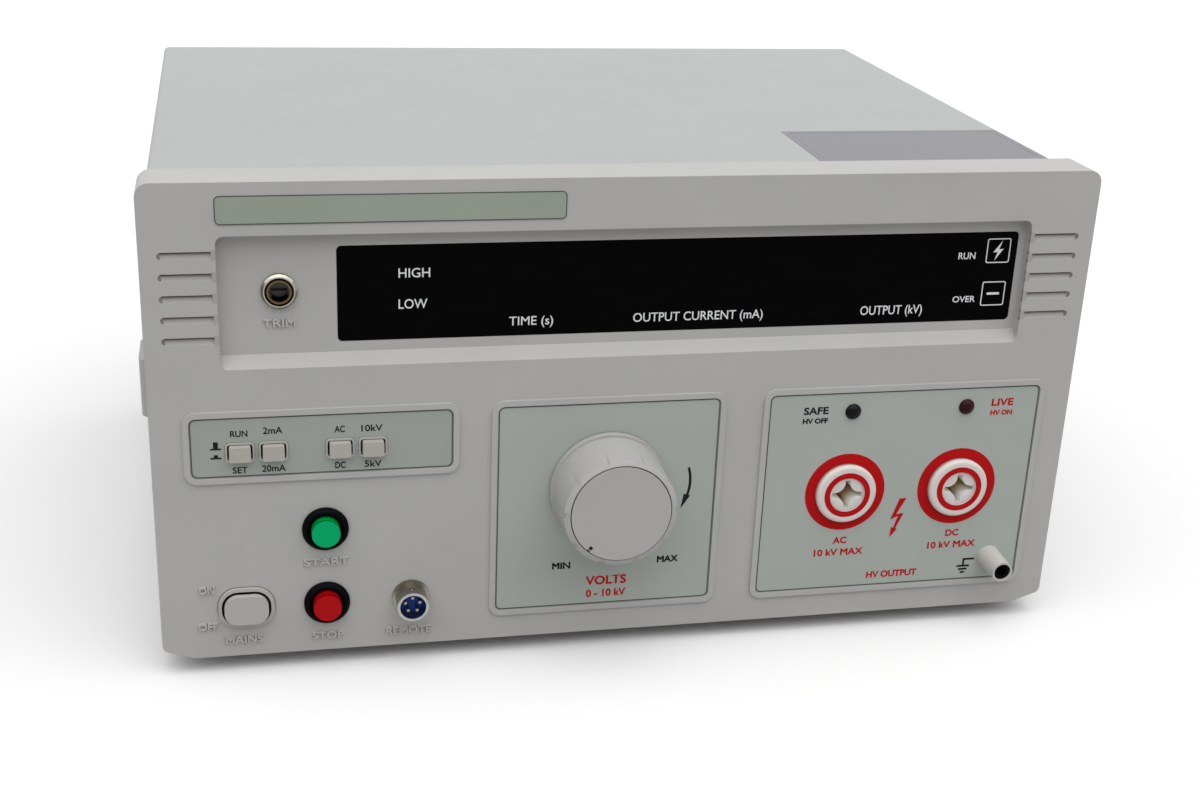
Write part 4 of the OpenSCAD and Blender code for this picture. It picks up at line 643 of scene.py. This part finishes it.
# offset, thickness and stroke of the painted shadow under the raised words
SHADOW_X, SHADOW_Z, SHADOW_T, SHADOW_WEIGHT = -0.16, -0.24, 0.03, 0.19
bm = bmesh.new()
feet = bmesh.new()
for text, x, z, h, w, y in (
        ("START", -117.9, 38.4, 3.2, 17.0, 0), ("STOP", -117.8, 6.7, 3.2, 12.0, 0),
        ("REMOTE", -86.8, 6.5, 3.2, 17.6, 0), ("MAINS", -149.5, 7.2, 3.2, 14.2, 0),
        ("ON", -162.7, 29.0, 3.0, 5.8, 0), ("OFF", -162.8, 13.5, 3.0, 7.4, 0),
        ("TRIM", -132.5, 132.9, 3.1, 11.8, WINDOW_FACE)):
    words(bm, text, x, z, h, w, y - RELIEF, y + ROOT, RELIEF_WEIGHT)
    words(feet, text, x + SHADOW_X, z + SHADOW_Z, h, w, y - SHADOW_T, y + ROOT, SHADOW_WEIGHT)
piece("bezel_relief", bm, "relief")
piece("relief_painted_shadows", feet, "painted_shadow_line")


def grown(cx, cz, w, h, r, by, n=6):
    """Rounded rectangle with its outline moved outward."""
    return rrect(cx, cz, w + 2 * by, h + 2 * by, r + by, n)


# Bare name strip with its outline, and dark lines just inside the overlays' edges, painted shade where they
# meet the bezel
STRIP_X0, STRIP_Z0, STRIP_X1, STRIP_Z1 = -153.6, 170.9, -29.4, 181.3
STRIP_T, STRIP_R, STRIP_LINE = 0.25, 1.8, 0.35
OVERLAY_R, LINE_OUTER, LINE_INNER = 2.5, -0.15, -0.55
strip = ((STRIP_X0 + STRIP_X1) / 2, (STRIP_Z0 + STRIP_Z1) / 2,
         STRIP_X1 - STRIP_X0, STRIP_Z1 - STRIP_Z0, STRIP_R)
bm = bmesh.new()
prism(bm, rrect(*strip), -STRIP_T, ROOT)
piece("name_strip", bm, "plate")
bm = bmesh.new()
band(bm, rrect(*strip), grown(*strip, -STRIP_LINE), *ink(-STRIP_T))
for n in ("selector_overlay", "adjust_overlay", "output_overlay"):
    sheet = (*panel_box(n)[:4], OVERLAY_R)
    band(bm, grown(*sheet, LINE_OUTER), grown(*sheet, LINE_INNER), f0, f1)
piece("edge_lines", bm, "film_line")

# Sloping floors of the moulded slots: deep under the top edge, flush at the lower one, closed before the
# recess, in a darker copy of the bezel's plastic as painted shade, with a painted shadow line under the top
# edge
SLOT_Z, SLOT_PITCH, SLOT_H, SLOT_D, SLOT_END, RECESS_X = 144.15, 7.9, 2.7, 1.3, 173.75, 153.75
FLOOR_X0, FLOOR_X1 = RECESS_X + 1.5, SLOT_END - 1.1
FLOOR_TOP, FLOOR_LIP, FLOOR_EDGE, EDGE_D = 0.6, 0.5, 0.6, 0.3
PROUD = 0.004           # keeps a flush face from lying in the bezel's
PLUG_W, PLUG_MORE = 1.6, 1.3
DARK_Z, DARK_H, DARK_Y0, DARK_Y1 = 0.32, 0.56, 0.55, 0.02
SLOTS = [(side, SLOT_Z + i * SLOT_PITCH) for side in (-1, 1) for i in range(-2, 3)]
bm = bmesh.new()
for side, z in SLOTS:
    top_z, low_z = z + SLOT_H / 2, z - SLOT_H / 2
    section = [(SLOT_D, top_z - FLOOR_TOP), (-PROUD, low_z - FLOOR_LIP), (EDGE_D, low_z - FLOOR_EDGE),
               (SLOT_D, low_z)]
    ends = [[bm.verts.new(at(side * x, y, zz)) for y, zz in section] for x in (FLOOR_X0, FLOOR_X1)]
    for a, b in zip(range(4), (1, 2, 3, 0)):
        bm.faces.new((ends[0][a], ends[0][b], ends[1][b], ends[1][a]))
    bm.faces.new(ends[0][::-1])
    bm.faces.new(ends[1])
    prism(bm, rect(side * (RECESS_X + PLUG_W / 2), z, PLUG_W, SLOT_H + PLUG_MORE), -PROUD, SLOT_D)
piece("slot_floors", bm, "slot")
# Painted shadow: a dark strip at the back of the gap under each slot's top edge
bm = bmesh.new()
for side, z in SLOTS:
    line = rect(side * (FLOOR_X0 + FLOOR_X1) / 2, z + SLOT_H / 2 - DARK_Z, FLOOR_X1 - FLOOR_X0, DARK_H)
    prism(bm, line, SLOT_D - DARK_Y0, SLOT_D - DARK_Y1)
piece("slot_painted_shadows", bm, "slot_painted_shadow")

# Painted shade round the power key: a black ring in its gap reaching onto the collar's inner edge; and a
# painted shadow line at the foot of its collar
POWER_R, POWER_STEPS = 5.2, 10
GAP_OUTER, GAP_INNER, GAP_Y0, GAP_Y1 = 1.0, 0.12, -1.34, -0.9
COLLAR_OUTER, COLLAR_INNER = 2.62, 2.25
power = (*panel_box("power_key")[:4], POWER_R)
bm = bmesh.new()
band(bm, grown(*power, GAP_OUTER, POWER_STEPS), grown(*power, GAP_INNER, POWER_STEPS), GAP_Y0, GAP_Y1)
piece("power_gap", bm, "painted_shade")
bm = bmesh.new()
band(bm, grown(*power, COLLAR_OUTER, POWER_STEPS), grown(*power, COLLAR_INNER, POWER_STEPS), -SHADOW_T, ROOT)
piece("power_painted_shadow", bm, "painted_shadow_line")


def ring(cx, cz, r_out, r_in, y0, y1, n=72):
    """New mesh with one flat ring."""
    bm = bmesh.new()
    band(bm, circle(cx, cz, r_out, n), circle(cx, cz, r_in, n), y0, y1)
    return bm


# Painted shade: a black ring in the groove between the adjuster's nut and its barrel
NUT_BORE, BARREL_R, NUT_Y0, NUT_Y1 = 5.23, 4.47, 0.7, 1.38
cx, cz, _, _, face = panel_box("preset_bush")
bm = ring(cx, cz, NUT_BORE, BARREL_R, face + NUT_Y0, face + NUT_Y1)
piece("preset_groove", bm, "painted_shade")

# Shadow line in the gap round the knob's disc
DISC_OUTER, DISC_INNER, DISC_Y0, DISC_Y1, DISC_STEPS = 0.37, 0.03, 0.5, 0.9, 96
cx, cz, disc_w, _, face = panel_box("knob_disc")
disc_r = disc_w / 2
bm = ring(cx, cz, disc_r + DISC_OUTER, disc_r + DISC_INNER, face + DISC_Y0, face + DISC_Y1, DISC_STEPS)
piece("knob_line", bm, "gap", body="knob")

# Dark inner end of the pointer's notch in the disc
POINTER, NOTCH_IN, NOTCH_OUT, NOTCH_HALF, NOTCH_Y0, NOTCH_Y1 = math.radians(40), -2.15, -1.1, 0.76, 0.3, 0.98
dx, dz = -math.sin(POINTER), -math.cos(POINTER)
corners = ((NOTCH_IN, -NOTCH_HALF), (NOTCH_OUT, -NOTCH_HALF), (NOTCH_OUT, NOTCH_HALF), (NOTCH_IN, NOTCH_HALF))
bm = bmesh.new()
prism(bm, [(cx + (disc_r + r) * dx + s * dz, cz + (disc_r + r) * dz - s * dx) for r, s in corners],
      face + NOTCH_Y0, face + NOTCH_Y1)
piece("knob_pointer", bm, "gap", body="knob")

# Painted shade: a black ring in the groove behind each push button's lens
GROOVE_OUTER, GROOVE_INNER, GROOVE_Y0, GROOVE_Y1 = 0.25, 0.78, 0.72, 1.58
for node, body in (("start_cap", "start_button"), ("reset_cap", "reset_button")):
    cx, cz, cap_w, _, face = panel_box(node)
    bm = ring(cx, cz, cap_w / 2 - GROOVE_OUTER, cap_w / 2 - GROOVE_INNER, face + GROOVE_Y0, face + GROOVE_Y1)
    piece(node + "_groove", bm, "painted_shade", body=body)

# Bare sticker on the cover, with its printed frame
TOP_Z = (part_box("top_cover")[1].z - BASE_Z) / MM
STICKER_X0, STICKER_Y0, STICKER_X1, STICKER_Y1 = 78.5, 25.0, 175.0, 87.0
STICKER_SINK, STICKER_T = 0.02, 0.12
FRAME_OUTER, FRAME_INNER, FRAME_Z0, FRAME_Z1 = 2.4, 3.0, 0.09, 0.16


def inset(d):
    x0, y0, x1, y1 = STICKER_X0 + d, STICKER_Y0 + d, STICKER_X1 - d, STICKER_Y1 - d
    return [(x0, y0), (x1, y0), (x1, y1), (x0, y1)]


def flat_ring(bm, outer, inner, z0, z1):
    """Frame lying on the cover between two outlines in panel x and y."""
    rows = [[bm.verts.new(at(x, y, z)) for x, y in pts] for pts in (outer, inner) for z in (z0, z1)]
    for a, b in ((0, 1), (1, 3), (3, 2), (2, 0)):
        for i in range(len(outer)):
            j = (i + 1) % len(outer)
            bm.faces.new((rows[a][i], rows[a][j], rows[b][j], rows[b][i]))


bm = bmesh.new()
low_v, top_v = ([bm.verts.new(at(x, y, z)) for x, y in inset(0)]
                for z in (TOP_Z - STICKER_SINK, TOP_Z + STICKER_T))
bm.faces.new(low_v[::-1])
bm.faces.new(top_v)
for i in range(4):
    j = (i + 1) % 4
    bm.faces.new((low_v[i], low_v[j], top_v[j], top_v[i]))
piece("cover_sticker", bm, "silver")
bm = bmesh.new()
flat_ring(bm, inset(FRAME_OUTER), inset(FRAME_INNER), TOP_Z + FRAME_Z0, TOP_Z + FRAME_Z1)
piece("sticker_frame", bm, "sticker_line")

# Straps of the side handles, with rounded edges
STRAP_T, STRAP_RINGS, STRAP_SIDES, STRAP_ROUND = 2.4, 40, 24, 0.35
low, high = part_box("handle_straps")
_, strap_z, _, strap_h, strap_y = panel_box("handle_straps")
strap_l, strap_x = (high.y - low.y) / MM, high.x / MM - STRAP_T / 2


def squared(v):
    """Pushes a point of a circle out towards a square with round corners."""
    return math.copysign(abs(v) ** STRAP_ROUND, v)


turn = [2 * math.pi * k / STRAP_SIDES for k in range(STRAP_SIDES)]
section = [(squared(math.cos(a)) * STRAP_T / 2, squared(math.sin(a)) * strap_h / 2) for a in turn]
bm = bmesh.new()
for side in (-1, 1):
    rows = [[bm.verts.new(at(side * (strap_x + u), strap_y + strap_l * i / STRAP_RINGS, strap_z + v))
             for u, v in section] for i in range(STRAP_RINGS + 1)]
    for a, b in zip(rows, rows[1:]):
        for k in range(STRAP_SIDES):
            j = (k + 1) % STRAP_SIDES
            bm.faces.new((a[k], a[j], b[j], b[k]))
    bm.faces.new(rows[0][::-1])
    bm.faces.new(rows[-1])
straps = piece("straps", bm, "vinyl")
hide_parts("handle_straps")

# Screws: pan heads with a cross recess, where the frame has them

def loose_parts(me):
    """Points of each closed part of a mesh, in the mesh's own order."""
    bm = bmesh.new()
    bm.from_mesh(me)
    bmesh.ops.remove_doubles(bm, verts=bm.verts, dist=1e-6)
    met, parts = set(), []
    for first in bm.verts:
        if first in met:
            continue
        met.add(first)
        stack, part = [first], []
        while stack:
            v = stack.pop()
            part.append(v.co.copy())
            for e in v.link_edges:
                other = e.other_vert(v)
                if other not in met:
                    met.add(other)
                    stack.append(other)
        parts.append(part)
    bm.free()
    return parts


def measure(points):
    """Foot of the head, outward direction, head radius and height, shank radius and length of a plain screw."""
    low = Vector([min(p[i] for p in points) for i in range(3)])
    high = Vector([max(p[i] for p in points) for i in range(3)])
    span = high - low
    axis = min(range(3), key=lambda i: abs(span[i - 1] - span[i - 2]))
    mid = (low + high) / 2
    far = {}
    for p in points:
        off = p - mid
        off[axis] = 0
        far.setdefault(round(p[axis], 6), []).append(off.length)
    far = {k: max(v) for k, v in far.items()}
    head_r = max(far.values())
    flange = [k for k, r in far.items() if r > 0.98 * head_r]
    ends = min(far), max(far)
    out = 1 if abs(ends[1] - max(flange)) < abs(ends[0] - min(flange)) else -1
    foot = min(flange) if out > 0 else max(flange)
    tip, face = ends if out > 0 else ends[::-1]
    base = mid.copy()
    base[axis] = foot
    direction = Vector((0, 0, 0))
    direction[axis] = out
    return base, direction, head_r, abs(face - foot), far[tip], abs(foot - tip)


def add_screw(bm, base, direction, head_r, head_h, shank_r, shank_l, turn):
    """Screw from a profile of radius and height; the cross narrows towards its floor."""
    steps, taper, floor_h = 32, 0.72, 0.4 * head_h
    turned = Vector((0, 0, 1)).rotation_difference(direction).to_matrix().to_4x4()
    place = Matrix.Translation(base) @ turned @ Matrix.Rotation(turn, 4, "Z")

    def level(pts, z):
        return [bm.verts.new(place @ Vector((x, y, z))) for x, y in pts]

    def walls(a, b):
        for i in range(len(a)):
            j = (i + 1) % len(a)
            bm.faces.new((a[i], a[j], b[j], b[i]))

    profile = [(0.9 * shank_r, -shank_l), (shank_r, -0.94 * shank_l), (shank_r, 0),
               (head_r, 0), (head_r, 0.4 * head_h), (0.95 * head_r, 0.68 * head_h),
               (0.84 * head_r, 0.88 * head_h), (0.68 * head_r, head_h)]
    rings = [level(circle(0, 0, r, steps), z) for r, z in profile]
    for a, b in zip(rings, rings[1:]):
        walls(a, b)
    bm.faces.new(rings[0][::-1])
    arm, half = 0.5 * head_r, 0.13 * head_r
    plus = [(arm, -half), (arm, half), (half, half), (half, arm), (-half, arm), (-half, half), (-arm, half),
            (-arm, -half), (-half, -half), (-half, -arm), (half, -arm), (half, -half)]
    mouth = level(plus, head_h)
    bottom = level([(taper * x, taper * y) for x, y in plus], floor_h)
    walls(bottom, mouth)
    bm.faces.new(bottom)
    rim = [bm.edges.get((loop[i - 1], loop[i])) for loop in (rings[-1], mouth) for i in range(len(loop))]
    bmesh.ops.triangle_fill(bm, edges=rim, use_beauty=True)


SCREW_TURN = math.radians(37)       # each screw stands at another angle
bm = bmesh.new()
for i, part in enumerate(loose_parts(NODES["case_screws"].data)):
    add_screw(bm, *measure(part), SCREW_TURN * i)
screws = piece("screws", bm, "screw")
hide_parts("case_screws")

# Camera at the photograph's place, in metres
LENS = Vector((-0.14623, -0.71125, 0.3425))
YAW, PITCH, ROLL = math.radians(12.895), math.radians(21.728), math.radians(2.474)
fwd = Vector((math.sin(YAW) * math.cos(PITCH), math.cos(YAW) * math.cos(PITCH), -math.sin(PITCH)))
level_x = Vector((math.cos(YAW), -math.sin(YAW), 0))
level_z = level_x.cross(fwd)
right = level_x * math.cos(ROLL) + level_z * math.sin(ROLL)
above = level_z * math.cos(ROLL) - level_x * math.sin(ROLL)
cam = bpy.data.cameras.new("camera")
cam.sensor_width = 36
cam.sensor_fit = "HORIZONTAL"
cam.lens = 50.44
cam.clip_start = 0.01
eye = bpy.data.objects.new("camera", cam)
eye.matrix_world = Matrix([(right[i], above[i], -fwd[i], LENS[i]) for i in range(3)] + [(0, 0, 0, 1)])
bpy.context.scene.collection.objects.link(eye)
bpy.context.scene.camera = eye

# Floor, soft light from above and an even pale surround
FLOOR_SPAN, FLOOR_LIT, FLOOR_SEEN = 30.0, 0.42, 0.92
SURROUND_LIT, SURROUND_SEEN = 0.22, 1.0
SUNS = ((-70, 1.2), (0, 1.0), (70, 1.2))        # direction in degrees and strength
SUN_TILT, SUN_ANGLE = math.radians(30), math.radians(75)


def watched(nt):
    """One for rays that show a surface: from the camera, a reflection or glass."""
    rays = nt.nodes.new("ShaderNodeLightPath").outputs
    direct = math_node(nt, "MAXIMUM", rays["Is Camera Ray"], rays["Is Glossy Ray"])
    return math_node(nt, "MAXIMUM", direct, rays["Is Transmission Ray"])


bm = bmesh.new()
corners = ((-1, -1), (1, -1), (1, 1), (-1, 1))
bm.faces.new([bm.verts.new((x * FLOOR_SPAN, y * FLOOR_SPAN, 0)) for x, y in corners])
me = bpy.data.meshes.new("floor")
bm.to_mesh(me)
bm.free()
floor = bpy.data.objects.new("floor", me)
bpy.context.scene.collection.objects.link(floor)
m, nt, b = shader("floor_white")
nt.links.new(to_range(nt, watched(nt), FLOOR_LIT, FLOOR_SEEN), b.inputs["Base Color"])
b.inputs["Roughness"].default_value = 0.9
b.inputs["Specular IOR Level"].default_value = 0.1
me.materials.append(m)

for direction, energy in SUNS:
    sun = bpy.data.lights.new("sky_light", "SUN")
    sun.energy = energy
    sun.angle = SUN_ANGLE
    lamp = bpy.data.objects.new("sky_light", sun)
    lamp.rotation_euler = (SUN_TILT, 0, math.radians(direction))
    bpy.context.scene.collection.objects.link(lamp)

world = bpy.data.worlds.new("surround")
world.use_nodes = True
bpy.context.scene.world = world
nt = world.node_tree
bg = nt.nodes["Background"]
nt.links.new(to_range(nt, watched(nt), SURROUND_LIT, SURROUND_SEEN), bg.inputs["Strength"])
bg.inputs["Color"].default_value = (1, 1, 1, 1)

bpy.context.scene.view_settings.view_transform = "Standard"
